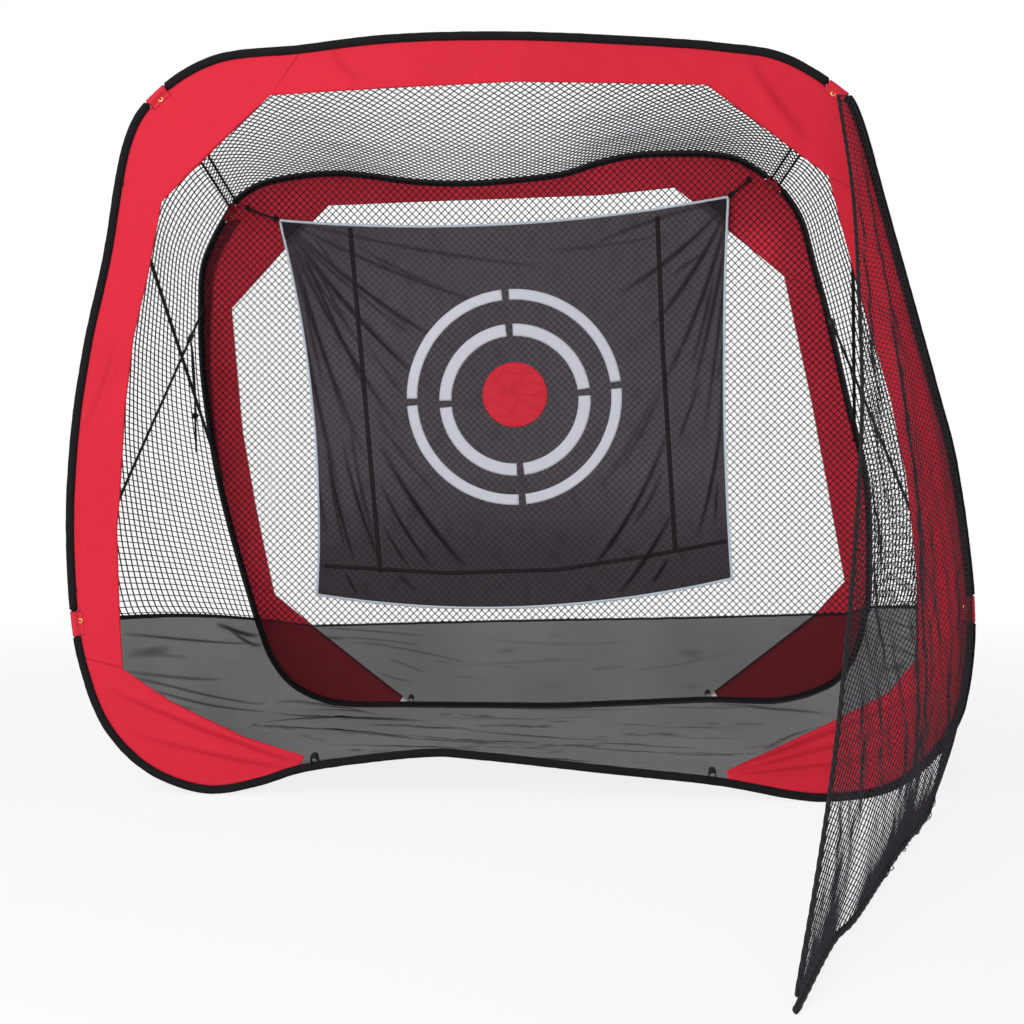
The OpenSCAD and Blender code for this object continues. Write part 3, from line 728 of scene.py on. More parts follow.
def add(whole: bmesh.types.BMesh, part: bmesh.types.BMesh) -> None:
    """Moves one mesh into another and frees it."""
    spare = bpy.data.meshes.new("spare")
    part.to_mesh(spare)
    part.free()
    whole.from_mesh(spare)
    bpy.data.meshes.remove(spare)


def material(name: str) -> bpy.types.Material:
    """The material of a finish, made once."""
    return bpy.data.materials.get(LOOK + name) or FINISHES[name].build()


def dress(made: bpy.types.Object, body: Body, slot: str, *nodes: str) -> bpy.types.Object:
    """Fastens a piece to a body and hides the nodes it stands for."""
    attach(made, body.value)
    if nodes:
        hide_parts(*nodes)
    log.info("%s on %s, %d faces", made.name, body.value, len(made.data.polygons))
    return made


def gathers(made: bpy.types.Object, near: float, far: float) -> None:
    """Gives a piece between the hoops a mesh of its own, and works out how much of its length would stay as the rear
    hoop comes forward, which is not used.

    Args:
        made: the piece.
        near: depth of its end at the front hoop, which stays.
        far: depth of its end that moves with the rear hoop.
    """
    keep = max(0.003, (far - near - FOLD_TRAVEL) / (far - near))
    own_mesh(made)


# ---------- Netting ----------


class Region:
    """A flat area with a closed border, that a net is cut to."""

    def __init__(self, border: Sequence[Vector]) -> None:
        self.border = np.array([list(p) for p in border], float)

    def inside(self, points: np.ndarray) -> np.ndarray:
        """Which points lie in the area."""
        a, b = self.border, np.roll(self.border, -1, axis=0)
        x, y = points[:, :1], points[:, 1:2]
        spans = (a[:, 1] > y) != (b[:, 1] > y)
        rise = np.where(np.abs(b[:, 1] - a[:, 1]) < 1e-12, 1e-12, b[:, 1] - a[:, 1])
        hits = spans & (x < (b[:, 0] - a[:, 0]) * (y - a[:, 1]) / rise + a[:, 0])
        return hits.sum(axis=1) % 2 == 1

    def nearest(self, points: np.ndarray) -> np.ndarray:
        """The nearest point of the border to each point."""
        a, b = self.border, np.roll(self.border, -1, axis=0)
        d = b - a
        t = np.clip(((points[:, None] - a) * d).sum(2) / np.maximum((d * d).sum(1), 1e-12), 0, 1)
        foot = a + t[..., None] * d
        best = ((foot - points[:, None]) ** 2).sum(2).argmin(1)
        return foot[np.arange(len(points)), best]

    def box(self) -> tuple[np.ndarray, np.ndarray]:
        """Lowest and highest corner."""
        return self.border.min(0), self.border.max(0)


def rectangle(size: tuple[float, float]) -> Region:
    """A region as wide and as long as that, from the origin."""
    w, d = size
    return Region([Vector((0, 0)), Vector((w, 0)), Vector((w, d)), Vector((0, d))])


def net(
    region: Region, lift: Lift, cell: float, twine: float, stretch: float = 1.0, turn: float = 45.0
) -> bmesh.types.BMesh:
    """A knotted net cut to a flat region and then hung in space.

    Args:
        region: the flat cut.
        lift: gives the point in space for a point of the cut.
        cell: length of a mesh's side.
        twine: thickness of the cord.
        stretch: how much longer than wide the meshes hang.
        turn: angle of the cords to the cut's own axes, in degrees.

    Returns:
        The net's cords as one mesh.
    """
    low, high = region.box()
    middle, reach = (low + high) / 2, float(np.linalg.norm(high - low)) / 2 + cell
    count = 2 * math.ceil(reach / cell / min(1.0, stretch))
    bm = bmesh.new()
    bmesh.ops.create_grid(bm, x_segments=count, y_segments=count, size=count * cell / 2)
    bm.verts.ensure_lookup_table()
    along, across = math.cos(math.radians(turn)), math.sin(math.radians(turn))
    flat = np.array([v.co[:2] for v in bm.verts]) @ np.array([[along, across], [-across, along]])
    flat = flat * (1, stretch) + middle
    flat += 0.06 * cell * np.array([[ripple((x, y, 0), 0.09), ripple((x, y, 5), 0.09)] for x, y in flat])
    within = region.inside(flat)
    near = np.zeros(len(flat), bool)
    loose = []
    for face in bm.faces:
        marks = [v.index for v in face.verts]
        if within[marks].any():
            near[marks] = True
        else:
            loose.append(face)
    flat[near & ~within] = region.nearest(flat[near & ~within])
    spare = [v for v in bm.verts if not near[v.index]]
    for vert in bm.verts:
        if near[vert.index]:
            vert.co = lift(float(flat[vert.index, 0]), float(flat[vert.index, 1]))
    bmesh.ops.delete(bm, geom=loose, context="FACES")
    bmesh.ops.delete(bm, geom=[v for v in spare if v.is_valid], context="VERTS")
    bmesh.ops.remove_doubles(bm, verts=bm.verts, dist=cell * 0.12)
    bmesh.ops.dissolve_degenerate(bm, edges=bm.edges, dist=cell * 0.05)
    bm.normal_update()
    bmesh.ops.wireframe(bm, faces=bm.faces, thickness=twine, use_replace=True, use_boundary=True, use_even_offset=False)
    return bm


def hang_net(
    name: str, region: Region, lift: Lift, body: Body, node: str, twine: float, stretch: float = 1.0,
    turn: float = 45.0,
) -> bpy.types.Object:
    """Args:
        name: the piece's name.
        region: the flat cut.
        lift: gives the point in space for a point of the cut.
        body: the hoop that it rides on.
        node: the node that it stands for.
        twine: thickness of the cord.
        stretch: how much longer than wide the meshes hang.
        turn: angle of the cords to the cut's own axes, in degrees.

    Returns:
        The piece.
    """
    made = piece(name, net(region, lift, MESH_SIDE, twine, stretch, turn), "netting")
    dress(made, body, "netting", node)
    return made


# ---------- Hoops ----------


@dataclass
class Panel:
    """One red panel between a hoop's sleeve and its own inner edge."""

    replaced: str
    start: float
    end: float
    edge: list
    folds: tuple = ()
    joined: bool = False
    # width of a band of painted shade under the sleeve
    shadow: float = 0.0


@dataclass
class Hoop:
    """A spring hoop: its sleeves, border panels, tabs, eyelets and peg loops."""

    name: str
    body: Body
    outline: Outline
    tabs: list
    sleeves: list
    panels: list
    peg_loops: list
    peg_depth: tuple[float, float]
    finish: str
    sleeve_radius: float = 12 * MM
    tab_gap: float = 60 * MM
    tab_half: float = 32.5 * MM
    tab_radius: float = 10.3 * MM
    eyelet_inset: float = 15 * MM
    border_thick: float = 0.9 * MM
    swell: float = 7 * MM
    peg_radius: float = 9.5

    def build(self) -> None:
        """Makes everything that the hoop carries."""
        for part in ("wire", "ferrule"):
            shown = bpy.data.objects[f"{self.name}_hoop_{part}"].data.materials
            shown.clear()
            shown.append(material("spring_steel"))
        for label, start, end in self.sleeves:
            self.sleeve(label, start, end)
        groups = []
        for panel in self.panels:
            groups = [*groups[:-1], [*groups[-1], panel]] if panel.joined else [*groups, [panel]]
        for group in groups:
            self.border(group)
        self.tab_set()
        self.eyelets()
        self.pegs()

    def sleeve(self, label: str, start: float, end: float) -> None:
        """A gathered fabric sleeve round the wire, closed at both ends."""
        o = self.outline
        begin, finish = o.moved(start, self.tab_gap / 2), o.moved(end, -self.tab_gap / 2)
        length = o.length(begin, finish)
        steps, sides = int(length / CLOTH_STEP), 18
        places = o.spread(begin, finish, steps)
        rings = [(o.at(s), -o.inwards(s)) for s in places]

        def place(i: int, j: int) -> Vector:
            middle, out = rings[i]
            a = TURN * (j % sides) / sides
            share = i / steps
            pucker = 0.055 * ripple((share * length, math.cos(a), math.sin(a)), 0.035, 3.0)
            pucker += 0.04 * ripple((share * length, math.cos(a) * 2, math.sin(a) * 2), 0.012, 8.0)
            r = self.sleeve_radius * (0.955 + pucker) * rounded(share, length, 0.003)
            flat = 0.84 + 0.12 * math.cos(a)
            point = middle + out * (r * math.cos(a))
            return o.solid(point, r * flat * math.sin(a))

        bm = shaped_grid(steps, sides, place, (length, TURN * self.sleeve_radius), closed=True, capped=True)
        dress(piece(f"{label}_cover", bm, "sleeve"), self.body, "sleeve_black", label)

    def border(self, group: list[Panel]) -> None:
        """A hemmed cloth from the sleeve to its straight inner edge, of one or more panels."""
        whole = bmesh.new()
        for panel in group:
            add(whole, self.panel_mesh(panel))
        bmesh.ops.remove_doubles(whole, verts=whole.verts, dist=1e-5)
        length = sum(self.outline.length(p.start, p.end) for p in group)
        made = piece(f"{group[0].replaced}_cloth", whole, self.finish, self.border_thick)
        dress(made, self.body, "border_red", *(p.replaced for p in group))

    def panel_mesh(self, panel: Panel) -> bmesh.types.BMesh:
        """One panel's cloth, with its folds and soft swells."""
        o = self.outline
        inner = Line(metres(panel.edge))
        length = o.length(panel.start, panel.end)
        columns, rows = max(24, int(length / CLOTH_STEP)), 24
        places = o.spread(panel.start, panel.end, columns)
        outer = []
        for s in places:
            near = min(((o.at(s) - o.at(t)).length for t in self.tabs), default=9.0)
            notch = 1 - clamp((near - 0.022) / 0.012)
            outer.append(o.inset(s, 0.010 + 0.004 * notch))
        hem_line = [inner.at(i / columns) for i in range(columns + 1)]
        widths = [(a - b).length for a, b in zip(outer, hem_line)]
        flat = [[a.lerp(b, j / rows) for j in range(rows + 1)] for a, b in zip(outer, hem_line)]
        rise, shade = folds_on(Folds(panel.folds), flat)

        def place(i: int, j: int) -> Vector:
            p, v = flat[i][j], j / rows
            free = math.sin(min(1.0, v * 1.35) * math.pi / 2)
            broad = ripple((p[0], 0, p[1]), 0.34, 1.3) * 1.6
            fine = ripple((p[0] * 1.5, 0, p[1]), 0.11, 6.1) * 0.4
            hem = 0.0006 if j >= rows - 1 else 0.0
            return o.solid(p, free * (self.swell * (broad + fine) - float(rise[i][j])) - hem)

        # Painted shade along the folds' shaded sides and in a band under the sleeve; also a dark line along the hem and
        # broad soft darker patches
        def crease(i: int, j: int) -> float:
            p = flat[i][j]
            edge = 0.55 if j == rows else 0.0
            wear_and_shade = max(0.0, -0.35 + 0.8 * abs(ripple((p[0], 0, p[1] * 1.3), 0.4, 2.2))) * 0.4
            # The band of painted shade widens upwards from 0.75 m and stops at 1.77 m
            reach = panel.shadow * clamp((p[1] - 0.75) / 0.95) if p[1] < 1.77 else 0.0
            within = clamp((reach - widths[i] * j / rows) / 0.006)
            mottled = 0.85 + 0.3 * ripple((p[0], 0, p[1]), 0.012, 3.0)
            return max(edge + wear_and_shade, float(shade[i][j]), within * mottled)

        return shaped_grid(columns, rows, place, (length, sum(widths) / len(widths)), crease)

    def tab_set(self) -> None:
        """Webbing tabs folded round the bare wire, in one mesh."""
        o = self.outline
        whole = bmesh.new()
        columns, rows = 36, 12
        lips = [(0.0235, 0.0012), (0.019, 0.0014), (0.015, 0.0017), (0.0122, 0.0026), (0.0100, 0.0046)]
        wrap = [math.radians(44 + 27.2 * k) for k in range(11)]
        section = [*lips, *((self.tab_radius * math.cos(a), self.tab_radius * math.sin(a)) for a in wrap)]
        section += [(x, -y) for x, y in reversed(lips)]
        path = Line([Vector(p) for p in section])
        for s in self.tabs:
            places = o.spread(o.moved(s, -self.tab_half), o.moved(s, self.tab_half), rows)

            def place(i: int, j: int) -> Vector:
                into, depth = path.at(i / columns)
                frill = 0.0004 * ripple((i * 0.02, j * 0.05, s), 0.1)
                return o.solid(o.inset(places[j], into + frill), depth + frill)

            bm = shaped_grid(columns, rows, place, (path.length, 2 * self.tab_half), edged(rows, 0.35))
            bmesh.ops.solidify(bm, geom=bm.faces, thickness=0.0009)
            add(whole, bm)
        bmesh.ops.recalc_face_normals(whole, faces=whole.faces)
        made = piece(f"{self.name}_tab_webbing", whole, "webbing_red")
        dress(made, self.body, "webbing_red", f"{self.name}_tabs")

    def eyelets(self) -> None:
        """Rolled brass eyelets, spun round their holes."""
        o = self.outline
        whole = bmesh.new()
        rim = [(3.5, 0.0), (3.5, 2.1), (3.9, 2.75), (4.8, 3.05), (6.0, 2.75), (6.75, 2.05), (6.6, 1.9), (4.4, 1.85)]
        rim.append((4.4, 0.0))
        for s in self.tabs:
            centre = o.solid(o.inset(s, self.eyelet_inset))
            half = [centre + Vector((x * MM, -y * MM, 0)) for x, y in rim]
            far = [centre + Vector((x * MM, y * MM, 0)) for x, y in reversed(rim[1:-1])]
            row = [whole.verts.new(p) for p in [*half, *far]]
            edges = [whole.edges.new((a, b)) for a, b in zip(row, [*row[1:], row[0]])]
            bmesh.ops.spin(
                whole, geom=[*row, *edges], cent=centre, axis=(0, 1, 0), angle=TURN, steps=32, use_merge=True
            )
        bmesh.ops.remove_doubles(whole, verts=whole.verts, dist=TOUCHING)
        bmesh.ops.recalc_face_normals(whole, faces=whole.faces)
        made = piece(f"{self.name}_eyelet_rims", whole, "eyelet_brass", sharp=50)
        dress(made, self.body, "eyelet_brass", f"{self.name}_eyelets")

    def pegs(self) -> None:
        """Webbing arches that stand on the sleeve, in one mesh."""
        o = self.outline
        whole = bmesh.new()
        near, deep = self.peg_depth
        columns, rows, radius = 40, 6, self.peg_radius
        bend = [math.radians(18 * k) for k in range(11)]
        arch = [(-radius, 8), (-radius, 20), *((-radius * math.cos(a), 26 + radius * math.sin(a)) for a in bend)]
        path = Line(metres([*arch, (radius, 20), (radius, 8)]))
        for s in self.peg_loops:
            foot, h = o.at(s), o.heading(s)
            up = Vector((h[1], -h[0]))

            def place(i: int, j: int) -> Vector:
                x, z = path.at(i / columns)
                lean = 0.0015 * ripple((x * 3, z * 3, s), 0.03)
                return o.solid(foot + h * x + up * z, near + deep * j / rows + lean)

            bm = shaped_grid(columns, rows, place, (path.length, deep), edged(rows, 0.5))
            bmesh.ops.solidify(bm, geom=bm.faces, thickness=0.013)
            add(whole, bm)
        bmesh.ops.recalc_face_normals(whole, faces=whole.faces)
        made = piece(f"{self.name}_peg_webbing", whole, "seam_tape")
        dress(made, self.body, "webbing_black", f"{self.name}_peg_loops")


# ---------- Tunnel ----------


@dataclass
class TunnelSheet:
    """A surface from one hoop to the other, between two marks on each."""

    front: Outline
    rear: Outline
    start: tuple
    end: tuple
    gaps: tuple = (0.0, 0.0)
    lie: tuple = (0.0, 0.0)
    bow: tuple = (0.0, 0.0)
    floor: float = 2.55 * MM
    front_rise: float = 0.65
    rear_rise: float = 0.15
    edges: tuple = (0.0, 0.0)

    def __post_init__(self) -> None:
        """Reads the two end runs once."""
        self.near, self.far = (
            hoop.run(hoop.moved(self.start[k], self.gaps[0]), hoop.moved(self.end[k], -self.gaps[1]))
            for k, hoop in enumerate((self.front, self.rear))
        )
        self.y = (self.front.depth + SEAT, self.rear.depth - SEAT)
        self.size = ((self.near.length + self.far.length) / 2, self.y[1] - self.y[0])

    def at(self, u: float, v: float) -> Vector:
        """The point at share u across and share v from front to rear."""
        f, r = self.near.at(u), self.far.at(u)
        taut = f.lerp(r, v)
        amount = (self.lie[0] + (self.lie[1] - self.lie[0]) * u) ** 2
        rise = (f[1] - self.floor) * max(0.0, 1 - v / self.front_rise) ** 2
        rise += (r[1] - self.floor) * max(0.0, 1 - (1 - v) / self.rear_rise) ** 2
        swell = math.sin(math.pi * v) * math.sqrt(max(0.0, math.sin(math.pi * u)))
        z = taut[1] + (self.floor + rise - taut[1]) * amount + self.bow[1] * swell
        z += (self.edges[0] + (self.edges[1] - self.edges[0]) * u) * math.sin(math.pi * v)
        return Vector((taut[0] + self.bow[0] * swell, self.y[0] + (self.y[1] - self.y[0]) * v, z))

    def facing(self, u: float, v: float) -> Vector:
        """Unit vector square to the surface."""
        h = 0.01
        a, b = clamp(u, h, 1 - h), clamp(v, h, 1 - h)
        across = self.at(a + h, b) - self.at(a - h, b)
        return across.cross(self.at(a, b + h) - self.at(a, b - h)).normalized()


@dataclass
class Tunnel:
    """Netting, sheer cloth, tapes and straps between the two hoops."""

    front: Outline
    rear: Outline
    bottom_left: tuple = (5.5, 5.5)
    skirt_left: tuple = (9, 7.45)
    top_left: tuple = (15.1, 14.4)
    top_right: tuple = (23, 27)
    skirt_right: tuple = (28, 34.5)
    bottom_right: tuple = (31.5, 37.4)
    tape_half: float = 17 * MM
    seam_half: float = 5.5 * MM
    side_bow: float = 60 * MM
    left_seam_rise: float = 14 * MM

    def sheet(self, start: tuple, end: tuple, **more: object) -> TunnelSheet:
        """A surface between two marks."""
        return TunnelSheet(self.front, self.rear, start, end, **more)

    def along_mark(self, mark: tuple, half: float, lifted: float = 0.0) -> TunnelSheet:
        """A narrow surface that follows one mark from hoop to hoop."""
        ends = [(self.front.moved(mark[0], s * half), self.rear.moved(mark[1], s * half)) for s in (-1, 1)]
        return self.sheet(*ends, edges=(lifted, lifted))

    def build(self) -> None:
        """Makes the cloths of the tunnel."""
        low, bow, lifted = (6 * MM, self.tape_half), self.side_bow, self.left_seam_rise
        wrapped = (self.bottom_left[0] + len(self.front.knots), self.bottom_left[1] + len(self.rear.knots))
        top = self.sheet(self.top_left, self.top_right, gaps=(self.tape_half, self.tape_half), bow=(0, -0.022))
        left = self.sheet(self.skirt_left, self.top_left, gaps=low, bow=(-bow, 0), edges=(lifted, 0))
        right = self.sheet(self.top_right, self.skirt_right, gaps=low[::-1], bow=(bow, 0))
        left_foot = self.sheet(self.bottom_left, self.skirt_left, lie=(1, 0), bow=(-0.010, 0), edges=(0, lifted))
        right_foot = self.sheet(self.skirt_right, self.bottom_right, lie=(0, 1), bow=(0.010, 0))
        self.netting("top", top, 1.6, 0.002, 4.1 * MM, 45.0)
        self.netting("left", left)
        self.netting("right", right)
        self.skirt("left", left_foot, 7.0, LEFT_SKIRT_FOLDS)
        self.skirt("right", right_foot, 9.0, RIGHT_SKIRT_FOLDS)
        self.floor(self.sheet(self.bottom_right, wrapped, lie=(1, 1)))
        self.corner_tapes()
        self.skirt_tapes()

    def gathered(self, made: bpy.types.Object) -> None:
        """Passes a piece that spans the whole tunnel to gathers, with the depths of its two ends."""
        gathers(made, self.front.depth + SEAT, self.rear.depth - SEAT)

    def netting(
        self, side: str, surface: TunnelSheet, stretch: float = 2.2, loose: float = 0.003, twine: float = 4.4 * MM,
        turn: float = 0.0,
    ) -> None:
        """A net between the hoops, with meshes drawn out in depth.

        Args:
            side: which net it is.
            surface: where it hangs.
            stretch: how much deeper than wide its meshes hang.
            loose: how far it strays from the surface.
            twine: thickness of the cord.
            turn: angle of the cords to the hoops, in degrees.
        """
        w, d = surface.size

        def lift(x: float, y: float) -> Vector:
            u, v = x / w, y / d
            free = min(1.0, 6 * min(u, 1 - u, v, 1 - v))
            swing = loose * (ripple((x, y, 0), 0.22, 4.0) + 0.4 * ripple((x, y, 0), 0.07, 9.0))
            return surface.at(u, v) + surface.facing(u, v) * (free * swing)

        cut = rectangle(surface.size)
        self.gathered(hang_net(f"{side}_netting", cut, lift, Body.FRONT, f"{side}_net", twine, stretch, turn))

    def sheer(
        self, name: str, node: str, surface: TunnelSheet, steps: tuple[int, int], folds: tuple, drape: Callable,
        push: Callable[[float, float, float, float], Vector],
    ) -> None:
        """Makes one of the sheer cloths.

        Args:
            name: the piece's name.
            node: the node that it stands for.
            surface: where it hangs.
            steps: faces across it and along it.
            folds: its long folds.
            drape: the height of its fine folds at a share across and along, from -1 to 1.
            push: how far a point moves, from its two shares, the fine fold and the long fold.
        """
        columns, rows = steps
        w, d = surface.size
        rise, shade = folds_on(Folds(folds), grid_of(columns, rows, lambda u, v: (w * u, d * v)))
        fine = grid_of(columns, rows, drape)

        def place(i: int, j: int) -> Vector:
            u, v = i / columns, j / rows
            return surface.at(u, v) + push(u, v, fine[i][j], float(rise[i][j]))

        # Painted shade along the folds, where the cloth also covers more, as folded sheer does
        def crease(i: int, j: int) -> float:
            return max(0.0, fine[i][j] * 1.2 - 0.4, float(shade[i][j]))

        made = piece(name, shaped_grid(columns, rows, place, surface.size, crease), "sheer", 0.4 * MM)
        dress(made, Body.FRONT, "sheer_grey", node)
        self.gathered(made)

    def skirt(self, side: str, surface: TunnelSheet, seed: float, folds: tuple) -> None:
        """A sheer side cloth with folds that run from hoop to hoop."""
        w, d = surface.size

        def drape(u: float, v: float) -> float:
            drift = u * w + 0.05 * v * ripple((v, seed, 0), 0.5)
            long = ripple((drift, v * d * 0.12, seed), 0.035, seed)
            return long * math.sin(math.pi * u) ** 0.4 * math.sin(math.pi * v) ** 0.5

        def push(u: float, v: float, fine: float, rise: float) -> Vector:
            return surface.facing(u, v) * (0.003 * fine + rise)

        self.sheer(f"{side}_skirt_cloth", f"{side}_skirt", surface, (110, 120), folds, drape, push)

    def floor(self, surface: TunnelSheet) -> None:
        """The sheer floor, drawn into folds from side to side."""
        w, d = surface.size

        def drape(u: float, v: float) -> float:
            sag = 0.10 * math.sin(math.pi * u)
            long = ripple((u * w * 0.22, (v + sag) * d, 2.0), 0.06, 5.0)
            short = 0.5 * ripple((u * w * 0.7, (v + sag) * d, 7.0), 0.03, 2.0)
            return (long + short) * math.sin(math.pi * v) ** 0.35

        def push(u: float, v: float, fine: float, rise: float) -> Vector:
            return Vector((0, 0, max(0.0, 0.004 * fine + rise)))

        self.sheer("floor_cloth", "floor_sheet", surface, (140, 280), FLOOR_FOLDS, drape, push)

    def corner_tapes(self) -> None:
        """Two cords with a strip of net between them, along each top corner."""
        for side, mark in (("left", self.top_left), ("right", self.top_right)):
            run = self.along_mark(mark, self.tape_half)
            whole = bmesh.new()
            for u in (0.0, 1.0):
                line = Line([run.at(u, k / 24) for k in range(25)])
                add(whole, tube(line, lambda s, a: 0.0042, 60, 8, Vector((1, 0, 0))))
            made = piece(f"{side}_corner_cords", whole, "tie_cord")
            dress(made, Body.FRONT, "webbing_black", *(["corner_tapes"] if side == "left" else []))
            self.gathered(made)
            w, d = run.size
            cords = net(rectangle(run.size), lambda x, y: run.at(x / w, y / d), MESH_SIDE, 4.1 * MM, 1.6)
            strip = piece(f"{side}_corner_strip", cords, "netting")
            dress(strip, Body.FRONT, "netting")
            self.gathered(strip)

    def skirt_tapes(self) -> None:
        """A bound seam between each side net and its skirt."""
        for side, mark, lifted in (("left", self.skirt_left, self.left_seam_rise), ("right", self.skirt_right, 0.0)):
            run = self.along_mark(mark, self.seam_half, lifted)

            def place(i: int, j: int) -> Vector:
                point = run.at(j / 4, i / 90)
                return point + Vector((0, 0, 0.0012 * ripple(point, 0.05, 3.0)))

            made = ribbon(f"{side}_skirt_seam", 90, place, run.size[::-1], "webbing_black", 1.4 * MM)
            dress(made, Body.FRONT, "webbing_black", *(["skirt_tapes"] if side == "left" else []))
            self.gathered(made)


# ---------- Straps and their sliders ----------


@dataclass
class Strap:
    """A flat webbing strap between the hoops, with a loop round each."""

    name: str
    front: Outline
    rear: Outline
    front_place: float
    rear_place: float
    width: float
    replaced: str
    thick: float = 1.5 * MM
    loop_radius: float = 12.6 * MM

    def __post_init__(self) -> None:
        """Finds the strap's ends and its flat side."""
        f = self.front.solid(self.front.inset(self.front_place, SEAT), SEAT)
        r = self.rear.solid(self.rear.inset(self.rear_place, SEAT), -SEAT)
        self.ends = (r, f)
        d = (f - r).normalized()
        self.face = d.cross(Vector((1, 0, 0))).normalized()
        self.side = self.face.cross(d)

    def at(self, share: float) -> Vector:
        """The point at a share of the length, from the rear."""
        return self.ends[0].lerp(self.ends[1], share)

    def band(self, name: str, start: float, end: float) -> bpy.types.Object:
        """A stretch of the webbing.

        Args:
            name: the piece's name.
            start: share of the length where it begins.
            end: share where it ends.

        Returns:
            The piece.
        """
        long = (self.at(end) - self.at(start)).length
        steps = max(8, int(long / 0.02))

        def place(i: int, j: int) -> Vector:
            share = start + (end - start) * i / steps
            ends = min(1.0, 8 * min(i / steps, 1 - i / steps))
            turn = 0.16 * ripple((share * 1.5, 0, self.width), 0.35, 3.0) * ends
            across = (j / 4 - 0.5) * self.width
            return self.at(share) + (self.side * math.cos(turn) + self.face * math.sin(turn)) * across

        return ribbon(name, steps, place, (long, self.width), "webbing_black", self.thick)

    def loop(self, name: str, outline: Outline, place: float, body: Body, end: Vector, wrap: float) -> None:
        """The strap's end, opened in two and sewn along a sleeve.

        Args:
            name: the piece's name.
            outline: the hoop.
            place: where it is on the hoop.
            body: what it rides on.
            end: the strap's end.
            wrap: how far each half goes round the sleeve, in degrees.
        """
        middle = outline.solid(outline.at(place))
        h = outline.heading(place)
        along = Vector((h[0], 0, h[1]))
        out = (end - middle) - along * (end - middle).dot(along)
        reach = out.length
        out.normalize()
        up = along.cross(out)
        least = 25
        angles = [math.radians(wrap + (least - wrap) * k / 10) for k in range(11)]
        half = [*(self.loop_radius * Vector((math.cos(a), math.sin(a))) for a in angles), Vector((reach, 0.0009))]
        path = [out * x + up * y for x, y in [*half, *((x, -y) for x, y in reversed(half))]]
        line = Line([middle + p for p in path])

        def put(i: int, j: int) -> Vector:
            return line.at(i / 60) + along * ((j / 4 - 0.5) * self.width)

        dress(ribbon(name, 60, put, (line.length, self.width), "webbing_black", 1.0 * MM), body, "webbing_black")

    def build(self) -> None:
        """Makes the strap and its two loops."""
        made = self.band(f"{self.name}_webbing", 0, 1)
        dress(made, Body.FRONT, "webbing_black", self.replaced)
        gathers(made, self.ends[1].y, self.ends[0].y)
        self.loops()

    def loops(self) -> None:
        """Makes the ends on both sleeves."""
        self.loop(f"{self.name}_front_loop", self.front, self.front_place, Body.FRONT, self.ends[1], 75)
        self.loop(f"{self.name}_rear_loop", self.rear, self.rear_place, Body.REAR, self.ends[0], 140)


@dataclass
class SliderStrap(Strap):
    """A strap that carries an adjuster near the rear hoop."""

    body: Body = Body.LEFT_SLIDER
    anchor_share: float = 0.15
    slider_share: float = 0.135
    slider_len: float = 34 * MM

    def build(self) -> None:
        """Makes the strap, its fixed stretch, its adjuster and its loops."""
        made = self.band(f"{self.name}_webbing", self.anchor_share, 1)
        dress(made, Body.FRONT, "webbing_black", self.replaced)
        gathers(made, self.ends[1].y, self.at(self.anchor_share).y)
        anchor = self.band(f"{self.name}_fixed_webbing", 0, self.anchor_share - 0.001)
        dress(anchor, Body.REAR, "webbing_black", self.replaced.replace("_strap", "_anchor"))
        self.loops()
        self.slider()

    def slider(self) -> None:
        """A ladder adjuster: two rails with bars above and below the webbing."""
        whole = bmesh.new()
        middle = self.at(self.slider_share)
        d = (self.ends[1] - self.ends[0]).normalized()
        rail = self.width / 2 + 2.9 * MM
        wide, size = 3.2 * MM, self.slider_len
        bars = [(0.0, s * rail, 0.0, size, wide, 6.6 * MM) for s in (-1, 1)]
        for shares, up in (((-0.42, 0.0, 0.42), 2.5 * MM), ((-0.24, 0.24), -2.5 * MM)):
            bars += [(share * size, 0.0, up, 5.2 * MM, 2 * rail + wide, 2.6 * MM) for share in shares]
        for along, side, up, long, wide, high in bars:
            made = bmesh.ops.create_cube(whole, size=1.0)["verts"]
            for vert in made:
                vert.co = (
                    middle + d * (along + vert.co.x * long) + self.side * (side + vert.co.y * wide)
                    + self.face * (up + vert.co.z * high)
                )
        bmesh.ops.recalc_face_normals(whole, faces=whole.faces)
        bmesh.ops.bevel(
            whole, geom=[*whole.edges], offset=0.7 * MM, affect="EDGES", segments=3, profile=0.5, material=-1
        )
        made = piece(f"{self.name.replace('_strap', '')}_ladder", whole, "slider_plastic", sharp=60)
        dress(made, self.body, "slider_plastic", self.name.replace("_strap", ""))


